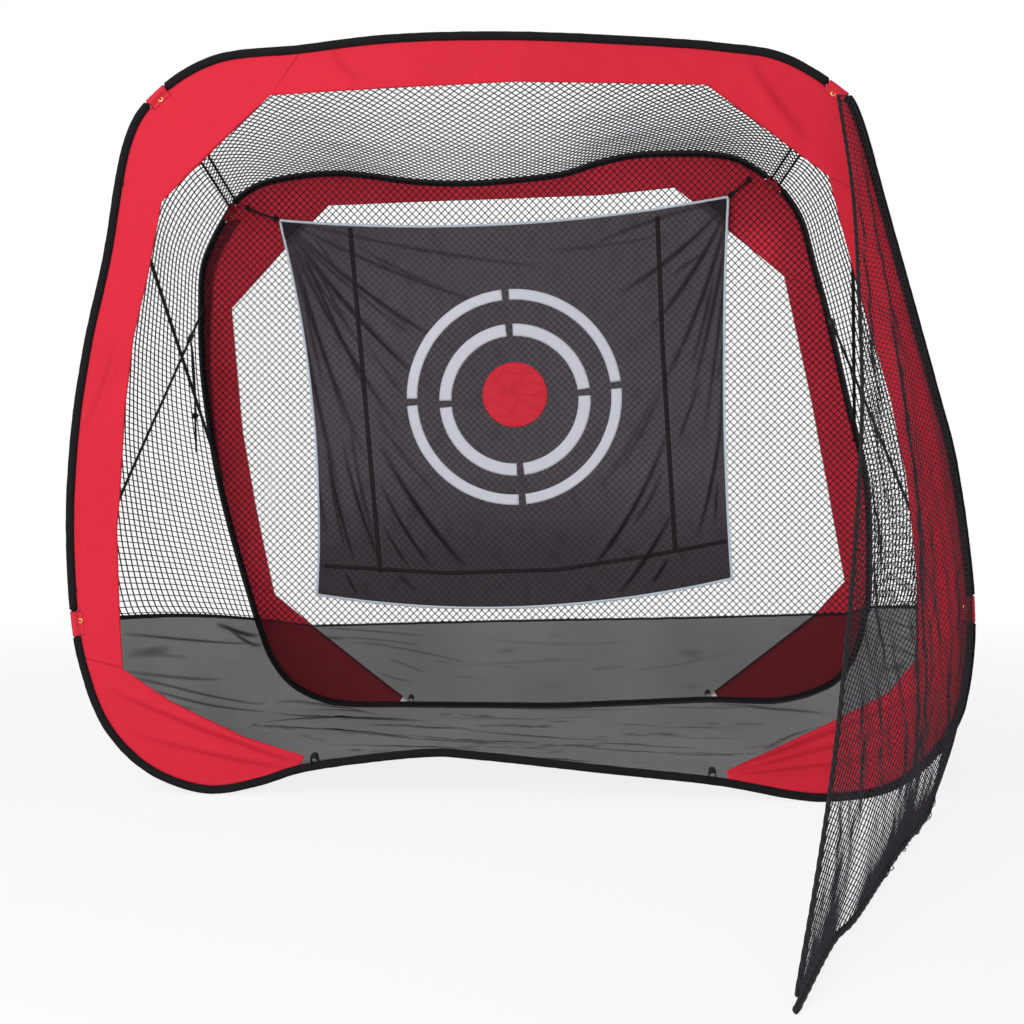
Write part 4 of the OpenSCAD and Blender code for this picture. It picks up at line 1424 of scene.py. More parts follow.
@dataclass
class TailCord:
    """The free end of the left adjuster's cord, hanging from it with a knot."""

    strap: SliderStrap
    radius: float = 4.0 * MM
    drop: float = 14 * MM
    route: tuple = ((0, 0, 0), (8, -3, -54), (12, 2, -162), (14, -2, -279), (16, 0, -388))
    strands: int = 3
    pitch: float = 17 * MM
    knot_share: float = 0.67
    knot_radius: float = 6.4 * MM
    knot_height: float = 5.8 * MM

    def build(self) -> None:
        """Makes the laid cord and its stopper knot."""
        start = self.strap.at(self.strap.slider_share) - Vector((0, 0, self.drop))
        points = [start + p for p in smooth_line(self.route, 9).points]
        line = Line(points)

        def radius(share: float, turn: float) -> float:
            lay = math.cos(TURN * (self.strands * turn - share * line.length / self.pitch))
            return self.radius * (0.93 + 0.09 * lay) * rounded(share, line.length, 0.002)

        made = piece("left_tail_laid_cord", tube(line, radius, 360, 12), "tail_cord")
        dress(made, Body.LEFT_SLIDER, "cord_black", "left_tail_cord")
        knot = self.knot(line)
        [tuple(p) for p in points]

    def knot(self, line: Line) -> bpy.types.Object:
        """A round stopper knot: one cord wound over the other."""
        middle = line.at(self.knot_share)

        def turn(a: float) -> Vector:
            out = self.knot_radius * (1 + 0.3 * math.cos(3 * a))
            return middle + Vector((out * math.cos(2 * a), out * math.sin(2 * a), self.knot_height * math.sin(3 * a)))

        wound = Line([turn(TURN * k / 72) for k in range(73)])
        bm = tube(wound, lambda s, a: self.radius * 0.95, 72, 10, Vector((0.2, 0.1, 1)))
        return dress(piece("left_tail_knot", bm, "tail_cord"), Body.LEFT_SLIDER, "cord_black")


# ---------- Back ----------


@dataclass
class Back:
    """The rear hoop's net, its sheer lower part and the seam between them."""

    rear: Outline
    seam: tuple = ((-783, 300), (-96, 322), (575, 337), (1131, 356))
    left_mark: float = 7.45
    right_mark: float = 34.5
    seat: float = 5.5 * MM
    skirt_height: float = 0.24
    tape_width: float = 8 * MM
    # Lines past which the skirt is opened over the red corners behind it, standing in for light on them
    lit_opening_left: tuple = (-0.465, 0.042, 1.282)
    lit_opening_right: tuple = (0.663, 0.07, 1.273)

    def build(self) -> None:
        """Makes the back."""
        self.netting()
        self.skirt()
        self.seam_tape()

    def netting(self) -> None:
        """The net, sewn all round under the sleeve."""
        run = self.rear.run(self.left_mark + 0.02, self.right_mark - 0.02)
        region = Region([*run.points, *metres(self.seam[::-1])])

        def lift(x: float, z: float) -> Vector:
            swing = 0.004 * ripple((x, 0, z), 0.3, 4.0) + 0.002 * ripple((x, 0, z), 0.08, 2.0)
            return Vector((x, self.rear.depth - self.seat - 0.002 + swing * 0.5, z))

        hang_net("back_netting", region, lift, Body.REAR, "back_net", 4.7 * MM)

    def skirt(self) -> None:
        """The sheer lower part, from the seam to the hoop's foot."""
        top = Line(metres(self.seam))
        run = self.rear.run(self.right_mark + 0.02 - len(self.rear.knots), self.left_mark - 0.02)
        foot = Line(run.points[::-1])
        columns, rows = 180, 90
        points = grid_of(columns, rows, lambda u, v: top.at(u).lerp(foot.at(u), v))
        rise, shade = folds_on(Folds(BACK_SKIRT_FOLDS), points)

        def fold(i: int, j: int) -> float:
            p = points[i][j]
            return ripple((p[0] * 0.18, 0, p[1] + 0.02 * p[0]), 0.03, 6.0) * math.sin(math.pi * j / rows) ** 0.5

        def place(i: int, j: int) -> Vector:
            p = points[i][j]
            return Vector((p[0], self.rear.depth - self.seat + 0.003 * fold(i, j) - 0.5 * float(rise[i][j]), p[1]))

        # Opens the skirt over the red corners behind it, standing in for light that shows them brighter; the cloth is
        # no thinner there
        def lit_opening(x: float, z: float) -> float:
            past = [self.lit_opening_left[0] - (z - self.lit_opening_left[1]) * self.lit_opening_left[2] - x]
            past.append(x - self.lit_opening_right[0] - (z - self.lit_opening_right[1]) * self.lit_opening_right[2])
            return clamp(max(past) / 0.012)

        # Painted shade along the folds; below 0 the mark opens the cloth
        def crease(i: int, j: int) -> float:
            return max(0.0, fold(i, j) * 1.2 - 0.45, float(shade[i][j])) - lit_opening(*points[i][j])

        bm = shaped_grid(columns, rows, place, (top.length, self.skirt_height), crease)
        made = piece("back_skirt_cloth", bm, "sheer_back", 0.4 * MM)
        dress(made, Body.REAR, "sheer_grey", "back_skirt")

    def seam_tape(self) -> None:
        """The bound seam across the back."""
        line = Line(metres(self.seam))

        def place(i: int, j: int) -> Vector:
            p = line.at(i / 160)
            wave = 0.0016 * ripple((p[0], 0, 0), 0.06, 1.0)
            across = (j / 4 - 0.5) * self.tape_width
            return Vector((p[0], self.rear.depth - self.seat - 0.0012, p[1] + wave + across))

        made = ribbon("back_seam_binding", 160, place, (line.length, self.tape_width), "seam_tape", 1.0 * MM)
        dress(made, Body.REAR, "webbing_black", "back_seam_tape")


# ---------- Target ----------


@dataclass
class Target:
    """The hanging mesh target with its piping, rings, disc, corners and ties."""

    depth: float
    corners: dict = field(
        default_factory=lambda: {"tl": (-897, 1761), "tr": (697, 1831), "br": (720, 482), "bl": (-772, 417)}
    )
    bows: dict = field(
        default_factory=lambda: {"top": (0, -54), "right": (-21, 0), "bottom": (0, -74), "left": (52, 0)}
    )
    centre: tuple = (-55, 1119)
    ring_radius: float = 385 * MM
    inner_radius: float = 271 * MM
    ring_width: float = 38 * MM
    inner_width: float = 44 * MM
    disc_radius: float = 116 * MM
    disc_lift: float = 18 * MM
    outer_shift: tuple = (-3, 9)
    ring_gap: float = 26 * MM
    outer_gaps: tuple = (6.7, 94.8, 182.6, 274.7)
    inner_gaps: tuple = (6.1, 94.5, 183.3, 274.6)
    piping_radius: float = 5 * MM
    patch_side: float = 72
    patch_inset: float = 7
    tie_radius: float = 4.2 * MM
    tie_lay: float = 11 * MM
    tie_back: float = 18 * MM
    hang_back: float = 36 * MM
    proud: float = 1.1 * MM

    def __post_init__(self) -> None:
        """Turns the sizes into metres."""
        self.c = {k: Vector(p) * MM for k, p in self.corners.items()}
        self.b = {k: Vector(p) * MM for k, p in self.bows.items()}
        self.middle = Vector(self.centre) * MM
        self.y = self.depth - self.hang_back
        self.folds = Folds(TARGET_FOLDS)

    def edge(self, a: str, b: str, bow: str, t: float) -> Vector:
        """A point of one bowed edge, [x, z]."""
        return self.c[a].lerp(self.c[b], t) + 4 * t * (1 - t) * self.b[bow]

    def flat(self, u: float, v: float) -> Vector:
        """The point [x, z] at share u across and share v down."""
        c = self.c
        top, bottom = self.edge("tl", "tr", "top", u), self.edge("bl", "br", "bottom", u)
        left, right = self.edge("tl", "bl", "left", v), self.edge("tr", "br", "right", v)
        corners = c["tl"].lerp(c["tr"], u).lerp(c["bl"].lerp(c["br"], u), v)
        return top.lerp(bottom, v) + left.lerp(right, u) - corners

    def calm(self, p: Vector) -> float:
        """How much of the folds is left at a point: least inside the rings."""
        return 0.3 + 0.7 * clamp(((p - self.middle).length - self.ring_radius * 0.8) / 0.16)

    def lift(self, p: Vector, rise: float | None = None) -> float:
        """How far the cloth stands towards the mouth at a point, in metres.

        Args:
            p: the point, [x, z].
            rise: the folds' height there, where it is known.

        Returns:
            The distance.
        """
        high = float(self.folds.read([p])[0][0]) if rise is None else rise
        broad = 0.006 * ripple((p[0], 0, p[1]), 0.5, 1.0)
        fine = 0.0012 * ripple((p[0] * 1.6, 0, p[1]), 0.07, 3.0)
        return self.calm(p) * (high + fine) + broad

    def solid(self, p: Vector, proud: float = 0.0, rise: float | None = None) -> Vector:
        """A point of the cloth in space, a little proud of it."""
        return Vector((p[0], self.y - self.lift(p, rise) - proud, p[1]))

    def build(self) -> None:
        """Makes the target."""
        self.cloth()
        self.piping()
        self.seams()
        shifted = self.middle + Vector(self.outer_shift) * MM
        self.ring("outer", shifted, self.ring_radius, self.ring_width, self.outer_gaps)
        self.ring("inner", self.middle, self.inner_radius, self.inner_width, self.inner_gaps)
        self.disc()
        self.corner_patches()
        self.ties()

    def cloth(self) -> None:
        """The mesh cloth with its folds."""
        columns, rows = 260, 220
        points = grid_of(columns, rows, self.flat)
        rise, shade = folds_on(self.folds, points)

        # Painted shade along the folds' shaded sides, less inside the rings, and darker towards the bottom; grain adds
        # random darker streaks
        def crease(i: int, j: int) -> float:
            p = points[i][j]
            grain = 0.25 * max(0.0, ripple((p[0] * 2.2 + p[1], 0, p[1] - p[0]), 0.09, 4.0) - 0.1)
            foot = 0.4 * clamp((0.86 - p[1]) / 0.3)
            return min(1.0, 0.85 * float(shade[i][j]) * self.calm(p) + grain + foot)

        wide, tall = (self.c["tr"] - self.c["tl"]).length, (self.c["tl"] - self.c["bl"]).length
        bm = shaped_grid(
            columns, rows, lambda i, j: self.solid(points[i][j], rise=float(rise[i][j])), (wide, tall), crease
        )
        made = piece("target_cloth", bm, "target_mesh", 0.6 * MM)
        dress(made, Body.TARGET, "target_mesh", "target_sheet")

    def piping(self) -> None:
        """A pale cord binding round all four edges."""
        row = []
        for a, b, bow in (("tl", "tr", "top"), ("tr", "br", "right"), ("br", "bl", "bottom"), ("bl", "tl", "left")):
            row += [self.edge(a, b, bow, k / 60) for k in range(60)]
        ring = Line([*[self.solid(p) for p in row], self.solid(row[0])])
        steps, sides = 560, 10

        def place(i: int, j: int) -> Vector:
            share = (i % steps) / steps
            t = ring.heading(clamp(share, 0.002, 0.998))
            u = Vector((0, 1, 0)).cross(t).normalized()
            a = TURN * (j % sides) / sides
            r = self.piping_radius * (0.93 + 0.07 * ripple((share * ring.length, a, 0), 0.05, 2.0))
            return ring.at(share) + r * (math.cos(a) * u + 0.8 * math.sin(a) * t.cross(u))

        bm = shaped_grid(steps, sides, place, (ring.length, 0.031), closed=True)
        made = piece("target_edge_piping", bm, "piping")
        dress(made, Body.TARGET, "piping_blue", "target_piping")

    def strip(self, name: str, points: list, width: float) -> None:
        """A sewn-on tape that follows the cloth.

        Args:
            name: the piece's name.
            points: the tape's middle, [x, z] in millimetres.
            width: its width in metres.
        """
        line = Line(metres(points))
        steps = int(line.length / 0.012)

        def place(i: int, j: int) -> Vector:
            t = line.heading(i / steps)
            side = Vector((t[1], -t[0])) * ((j / 4 - 0.5) * width)
            return self.solid(line.at(i / steps) + side, 0.0012)

        made = ribbon(name, steps, place, (line.length, width), "seam_tape", 0.7 * MM, 0.3)
        dress(made, Body.TARGET, "webbing_black")

    def seams(self) -> None:
        """The two upright seams and the hem tape."""
        self.strip("target_left_seam", [(-644, 1733), (-600, 1200), (-541, 500)], 16 * MM)
        self.strip("target_right_seam", [(449, 1765), (470, 1300), (518, 580)], 16 * MM)
        self.strip("target_hem_tape", [(-743, 522), (-300, 498), (100, 512), (420, 562), (700, 616)], 14 * MM)

    def ring(self, label: str, centre: Vector, radius: float, width: float, gaps: tuple) -> None:
        """Four arcs of pale tape with a gap between each two.

        Args:
            label: the ring's name.
            centre: its middle, [x, z].
            radius: its outer radius.
            width: the tape's width.
            gaps: the angles of the gaps' middles, in degrees.
        """
        whole = bmesh.new()
        columns, rows = 60, 6
        spare_angle = math.degrees(self.ring_gap / radius) / 2
        mid = radius - width / 2
        for gap, following in zip(gaps, (*gaps[1:], gaps[0] + 360)):
            start, end = gap + spare_angle, following - spare_angle

            def place(i: int, j: int) -> Vector:
                a = math.radians(start + (end - start) * i / columns)
                r = mid + (j / rows - 0.5) * width
                return self.solid(centre + Vector((math.cos(a), math.sin(a))) * r, self.proud)

            # Painted shade along the tape's edges and ends
            def crease(i: int, j: int) -> float:
                return 0.35 if j in (0, rows) or i in (0, columns) else 0.0

            add(whole, shaped_grid(columns, rows, place, (math.radians(end - start) * mid, width), crease))
        made = piece(f"target_{label}_ring_tape", whole, "ring_tape", 0.7 * MM)
        dress(made, Body.TARGET, "ring_white", f"target_{label}_ring")

    def disc(self) -> None:
        """The red disc, slightly puckered."""
        spokes, rings = 96, 24

        def spot(i: int, j: int) -> Vector:
            a = TURN * (i % spokes) / spokes
            return Vector((math.cos(a), math.sin(a))) * (self.disc_radius * j / rings)

        def place(i: int, j: int) -> Vector:
            p = self.middle + Vector((0, self.disc_lift)) + spot(i, j)
            pucker = 0.0016 * abs(ripple((p[0] * 1.4, 0, p[1] + 0.4 * p[0]), 0.05, 7.0)) * (1 - (j / rings) ** 4)
            return self.solid(p, self.proud + pucker)

        # Painted shade along the disc's edge; faint darker lines across it
        def crease(i: int, j: int) -> float:
            x, z = spot(i, j)
            line = 1 - abs(ripple((x * 1.2, 0, z * 1.6), 0.06, 7.0)) * 5
            return 0.35 if j == rings else max(0.0, line) * 0.22

        bm = shaped_grid(spokes, rings, place, (TURN * self.disc_radius, self.disc_radius), crease)
        bmesh.ops.remove_doubles(bm, verts=bm.verts, dist=TOUCHING)
        bmesh.ops.dissolve_degenerate(bm, edges=bm.edges, dist=1e-7)
        made = piece("target_disc", bm, "disc_cloth", 0.7 * MM)
        dress(made, Body.TARGET, "bullseye_red", "target_bullseye")

    def corner_patches(self) -> None:
        """Dark reinforcements in the two top corners."""
        whole = bmesh.new()
        steps, side, inset = 12, self.patch_side, self.patch_inset
        for corner, sign in (("tl", 1), ("tr", -1)):
            origin = self.c[corner] + Vector((sign * inset, -inset)) * MM
            wide, down = metres([(sign * side, -inset), (sign * 3, -side)])

            def place(i: int, j: int) -> Vector:
                return self.solid(origin + (wide.lerp(down, j / steps)) * (i / steps), 0.0014)

            # Painted shade along three edges of each patch
            def crease(i: int, j: int) -> float:
                return 0.5 if i == steps or j in (0, steps) else 0.0

            bm = shaped_grid(steps, steps, place, (0.07, 0.07), crease)
            bmesh.ops.remove_doubles(bm, verts=bm.verts, dist=TOUCHING)
            add(whole, bm)
        made = piece("target_corner_patches", whole, "corner_cloth", 0.8 * MM)
        dress(made, Body.TARGET, "corner_navy", "target_corners")

    def ties(self) -> None:
        """Laid cords from the hoop to the top corners, each with a knot."""
        whole = bmesh.new()
        for start, corner, sign in (((-1025, 1813), "tl", -1), ((777, 1898), "tr", 1)):
            a = Vector((start[0] * MM, self.depth - self.tie_back, start[1] * MM))
            end = self.solid(self.c[corner]) + Vector((sign * 0.004, 0, 0.003))
            middle = a.lerp(end, 0.5) - Vector((0, 0, 0.006))
            line = Line([a.lerp(middle, t).lerp(middle.lerp(end, t), t) for t in (k / 20 for k in range(21))])

            def radius(share: float, turn: float) -> float:
                twist = math.cos(TURN * (2 * turn - share * line.length / self.tie_lay))
                return self.tie_radius * (1 + 0.16 * twist) * rounded(share, line.length, 0.004)

            add(whole, tube(line, radius, 110, 12))
            for at in (0.06, 0.93):
                ring = [
                    line.at(at) + Vector((0.006 * math.cos(t), 0.005 * math.sin(2 * t), 0.0075 * math.sin(t)))
                    for t in (TURN * k / 40 for k in range(41))
                ]
                add(whole, tube(Line(ring), lambda s, t: 0.0036, 40, 8, Vector((0.1, 1, 0.2))))
        made = piece("target_tie_cords", whole, "tie_cord")
        dress(made, Body.TARGET, "cord_black", "target_ties")


# ---------- Wing ----------


@dataclass
class Wing:
    """The loose side net of the mouth, with a rope along two of its edges."""

    front: Outline
    lead: tuple = (
        (840, -32, 1858), (865, -110, 1590), (850, -280, 1290), (824, -450, 1045), (775, -650, 800), (720, -845, 580),
        (660, -1040, 365), (600, -1210, 190), (535, -1384, 26),
    )
    ground: tuple = (
        (1138, -32, 160), (1095, -95, 60), (1047, -187, 12), (911, -480, 7), (729, -916, 7), (651, -1072, 7),
        (531, -1397, 7),
    )
    lead_radius: float = 5 * MM
    ground_radius: float = 7 * MM
    fold_depth: float = 9 * MM
    folds: float = 2.5
    seam: tuple = (23, 30)
    foot: float = 0.985
    mesh_side: float = 24 * MM
    twine: float = 2.9 * MM
    heading: tuple = (0.403, 0.915, 0)

    def __post_init__(self) -> None:
        """Reads the ropes and the seam along the hoop."""
        self.along = Vector(self.heading)
        self.square = Vector((self.along.y, -self.along.x, 0))
        back = Vector((0, self.front.depth / MM, 0))
        self.lead_line = smooth_line([Vector(p) + back for p in self.lead], 12)
        ground = smooth_line([Vector(p) + back for p in self.ground], 12)
        self.ground_line = Line([Vector((p[0], p[1], max(p[2], self.ground_radius))) for p in ground.points])
        run = self.front.run(self.front.moved(self.seam[0], 34 * MM), self.seam[1])
        self.hoop_line = Line([self.front.solid(p, -15.5 * MM) for p in run.points])

    def at(self, u: float, v: float) -> Vector:
        """The point at share u down and share v from the hoop to the leading rope."""
        near, lead = self.hoop_line.at(u), self.lead_line.at(u)
        spare = self.lead_radius * 0.8
        far = lead - (lead - near).normalized() * spare
        below = self.ground_line.at(v * self.foot) + Vector((0, 0, self.ground_radius * 0.8))
        near_end, end = self.hoop_line.points[-1], self.lead_line.points[-1]
        far_end = end - (end - near_end).normalized() * spare
        swing = self.fold_depth * math.sin(math.pi * u) * math.sin(math.pi * v) * math.sin(2 * math.pi * self.folds * v)
        return near.lerp(far, v) + u**4 * (below - near_end.lerp(far_end, v)) + swing * self.square

    def build(self) -> None:
        """Makes the wing."""
        self.netting()
        self.rope("wing_leading_cord", self.lead_line, self.lead_radius, "wing_lead_rope")
        self.rope("wing_ground_cord", self.ground_line, self.ground_radius, "wing_ground_rope")
        self.bunch("wing_leading_bunch", self.lead_line, 7, 4 * MM, (0.25, 0.95))
        self.bunch("wing_ground_bunch", self.ground_line, 7, 12 * MM, (0.0, 0.62))

    def netting(self) -> None:
        """The net, hanging in upright folds."""
        shares = [k / 60 for k in range(61)]
        taut = [(self.at(u, 1) - self.at(u, 0)).length for u in shares]
        widths = [w * (1.12 + 0.4 * (1 - u) ** 2) + 0.02 for u, w in zip(shares, taut)]
        tall = (self.lead_line.length + self.hoop_line.length) / 2
        left = [Vector((0, tall * u)) for u in shares]
        region = Region([*left, *(Vector((w, p.y)) for p, w in zip(left[::-1], widths[::-1]))])

        def lift(x: float, z: float) -> Vector:
            u = clamp(z / tall)
            v = clamp(x / float(np.interp(u, shares, widths)))
            loose = min(1.0, 5 * min(u, 1 - u, v, 1 - v))
            swing = 0.007 * ripple((x, z * 0.3, 0), 0.08, 4.0) + 0.004 * ripple((x, z, 0), 0.05, 1.0)
            sway = 0.005 * ripple((z * 0.6, 0, x), 0.06, 2.0)
            return self.at(u, v) + self.square * (swing * loose) + self.along * (sway * loose)

        made = piece("wing_netting", net(region, lift, self.mesh_side, self.twine, 0.5), "netting")
        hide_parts("wing_net")
        y = self.front.depth - 12 * MM
        y - 0.2
        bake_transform(made)
        log.info("wing_netting between hoop and wing, %d faces", len(made.data.polygons))

    def bunch(self, name: str, line: Line, strands: int, reach: float, span: tuple) -> None:
        """Loose strands of the net's selvedge, bunched along a rope.

        Args:
            name: the piece's name.
            line: the rope's line.
            strands: how many strands there are.
            reach: how far they stray from the rope.
            span: the shares of the rope between which they are drawn.
        """
        whole = bmesh.new()
        steps = 180
        for k in range(strands):
            points = []
            for i in range(steps + 1):
                share = span[0] + (span[1] - span[0]) * i / steps
                spread = reach * math.sin(math.pi * i / steps) ** 0.5
                at = share * line.length
                stray = Vector((ripple((at, k, 0), 0.06, 1.7 * k), 0, ripple((at, k, 9), 0.07, 2.3 * k)))
                point = line.at(share) + stray * (spread * 1.8)
                points.append(Vector((point.x, point.y, max(point.z, 0.002))))
            add(whole, tube(Line(points), lambda s, a: 0.0012, 2 * steps, 5, Vector((1, 0, 0))))
        dress(piece(name, whole, "netting"), Body.WING, "netting")

    def rope(self, name: str, line: Line, size: float, node: str) -> None:
        """A laid rope of three strands."""
        pitch = size * 6

        def radius(share: float, turn: float) -> float:
            twist = math.cos(TURN * (3 * turn - share * line.length / pitch))
            return size * (0.92 + 0.08 * twist) * rounded(share, line.length, size)

        steps = int(line.length / (size * 0.6))
        made = piece(name, tube(line, radius, steps, 15, Vector((1, 0, 0))), "edge_rope")
        dress(made, Body.WING, "cord_black", node)


# ---------- Studio ----------


@dataclass
class Studio:
    """Floor, light and camera."""

    eye: tuple = (0.1671, -3.589, 0.936)
    pitch: float = -2.55
    yaw: float = 2.72
    lens: float = 48.02

    def build(self) -> None:
        """Makes everything that isn't the cage."""
        self.camera()
        self.sky()
        self.floor()
        self.lamp("key", (-3.2, -4.2, 4.6), 2.4, 145)
        self.lamp("front", (-1.3, -4.7, 1.8), 2.6, 105)

    def camera(self) -> None:
        """The camera, level and a little to the right of the middle."""
        data = bpy.data.cameras.new("camera")
        data.lens, data.sensor_width = self.lens, 36
        data.clip_start, data.clip_end = 0.05, 200
        made = bpy.data.objects.new("camera", data)
        made.location = self.eye
        made.rotation_euler = (math.radians(90 + self.pitch), 0, math.radians(self.yaw))
        bpy.context.scene.collection.objects.link(made)
        bpy.context.scene.camera = made

    def sky(self) -> None:
        """Even light from all round, and plain white behind."""
        world = bpy.data.worlds.new("studio")
        bpy.context.scene.world = world
        world.use_nodes = True
        tree = world.node_tree
        back = tree.nodes["Background"]
        back.inputs["Color"].default_value = (1, 1, 1, 1)
        path = tree.nodes.new("ShaderNodeLightPath")
        seen = Value(tree, path.outputs["Is Camera Ray"])
        seen = seen.math("MAXIMUM", Value(tree, path.outputs["Is Glossy Ray"]))
        seen = seen.math("MAXIMUM", Value(tree, path.outputs["Is Transmission Ray"]))
        tree.links.new((seen * 0.58 + 0.42).socket, back.inputs["Strength"])

    def floor(self) -> None:
        """A wide pale floor that keeps a soft shadow."""
        bm = bmesh.new()
        bmesh.ops.create_grid(bm, x_segments=2, y_segments=2, size=60)
        mesh = bpy.data.meshes.new("studio_floor")
        bm.to_mesh(mesh)
        bm.free()
        shader = Shader("studio_floor")
        shader.set(Base_Color=(0.86, 0.86, 0.86, 1), Roughness=0.9)
        glow = shader.node("ShaderNodeEmission", Color=(1, 1, 1, 1), Strength=1.0)
        path = shader.node("ShaderNodeLightPath")
        seen = shader.value(path.outputs["Is Camera Ray"])
        seen = seen.math("MAXIMUM", shader.value(path.outputs["Is Glossy Ray"]))
        place = shader.node("ShaderNodeTexCoord").outputs["Object"]
        away = shader.value(shader.node("ShaderNodeVectorMath", {"operation": "LENGTH"}, Vector=place).outputs["Value"])
        plain = ((away - 2.4) * 0.4).clipped()
        mix = shader.node("ShaderNodeMixShader", Fac=seen * (plain * 0.16 + 0.84))
        shader.tree.links.new(shader.surface.outputs[0], mix.inputs[1])
        shader.tree.links.new(glow.outputs[0], mix.inputs[2])
        out = next(n for n in shader.tree.nodes if n.type == "OUTPUT_MATERIAL")
        shader.tree.links.new(mix.outputs[0], out.inputs["Surface"])
        mesh.materials.append(shader.material)
        made = bpy.data.objects.new("studio_floor", mesh)
        bpy.context.scene.collection.objects.link(made)

    def lamp(self, name: str, place: tuple, size: float, power: float) -> None:
        """A large soft lamp aimed at the cage."""
        data = bpy.data.lights.new(name, "AREA")
        data.shape, data.size, data.energy = "DISK", size, power
        made = bpy.data.objects.new(name, data)
        made.location = place
        made.rotation_euler = (Vector((0, 0.4, 0.9)) - Vector(place)).to_track_quat("-Z", "Y").to_euler()
        bpy.context.scene.collection.objects.link(made)


# ---------- The cage ----------

FRONT_POINTS = [
    (-85, 116), (-250, 122), (-550, 83), (-700, 38), (-825, 16), (-940, 42), (-1037, 100), (-1116, 193), (-1165, 313),
    (-1198, 475), (-1208, 740), (-1190, 994), (-1151, 1229), (-1096, 1459), (-1038, 1756), (-955, 1887), (-795, 1980),
    (-570, 2003), (-315, 2028), (0, 2030), (345, 2011), (545, 1993), (700, 1965), (842, 1881), (897, 1808), (973, 1551),
    (1100, 1111), (1160, 880), (1207, 527), (1192, 290), (1146, 177), (1075, 92), (985, 37), (855, 15), (745, 20),
    (541, 55), (240, 84),
]
REAR_POINTS = [
    (105, 15), (-95, 14), (-435, 14), (-655, 14), (-770, 33), (-873, 87), (-943, 175), (-985, 280), (-1022, 400),
    (-1100, 680), (-1150, 910), (-1190, 1210), (-1196, 1455), (-1180, 1625), (-1095, 1795), (-1040, 1860), (-930, 1910),
    (-695, 1934), (-415, 1902), (-245, 1894), (-105, 1900), (105, 1922), (247, 1963), (375, 1987), (512, 1992),
    (647, 1987), (750, 1962), (862, 1887), (919, 1823), (965, 1739), (1005, 1594), (1052, 1428), (1130, 1106),
    (1200, 814), (1211, 449), (1198, 342), (1171, 230), (1105, 121), (1002, 66), (888, 40), (770, 39), (641, 41),
    (382, 28),
]
FRONT_PANELS = [
    ("bottom_left", 2.14, 8.4, [(-570, 110), (-736, 161), (-936, 255), (-1067, 344)]),
    ("left", 8.4, 13.46, [(-1067, 344), (-1079, 724), (-1052, 1048), (-1025, 1242), (-985, 1407), (-947, 1604)]),
    ("top_left", 13.46, 17, [(-947, 1604), (-650, 1883)]),
    ("top", 17, 24.87, [(-650, 1883), (-11, 1909), (505, 1895), (821, 1654)]),
    ("right", 24.87, 28.83, [(821, 1654), (902, 1365), (991, 1072), (1033, 874), (1066, 600), (1065, 384)]),
    ("bottom_right", 28.83, 34.88, [(1065, 384), (993, 293), (870, 228), (570, 82)]),
]
REAR_PANELS = [
    ("bottom_left", 2.15, 8.2, [(-465, 42), (-783, 290), (-933, 414)]),
    ("left", 8.2, 11.85, [(-933, 414), (-1004, 746), (-1046, 1001), (-1083, 1453)]),
    ("top_left", 11.85, 17.1, [(-1083, 1453), (-898, 1653), (-726, 1820)]),
    ("top", 17.1, 23.45, [(-726, 1820), (247, 1847), (513, 1872)]),
    ("top_right", 23.45, 30.5, [(513, 1872), (900, 1556)]),
    ("right", 30.5, 34.05, [(900, 1556), (1003, 1106), (1126, 471)]),
    ("bottom_right", 34.05, 40.8, [(1126, 471), (1017, 348), (663, 70)]),
]


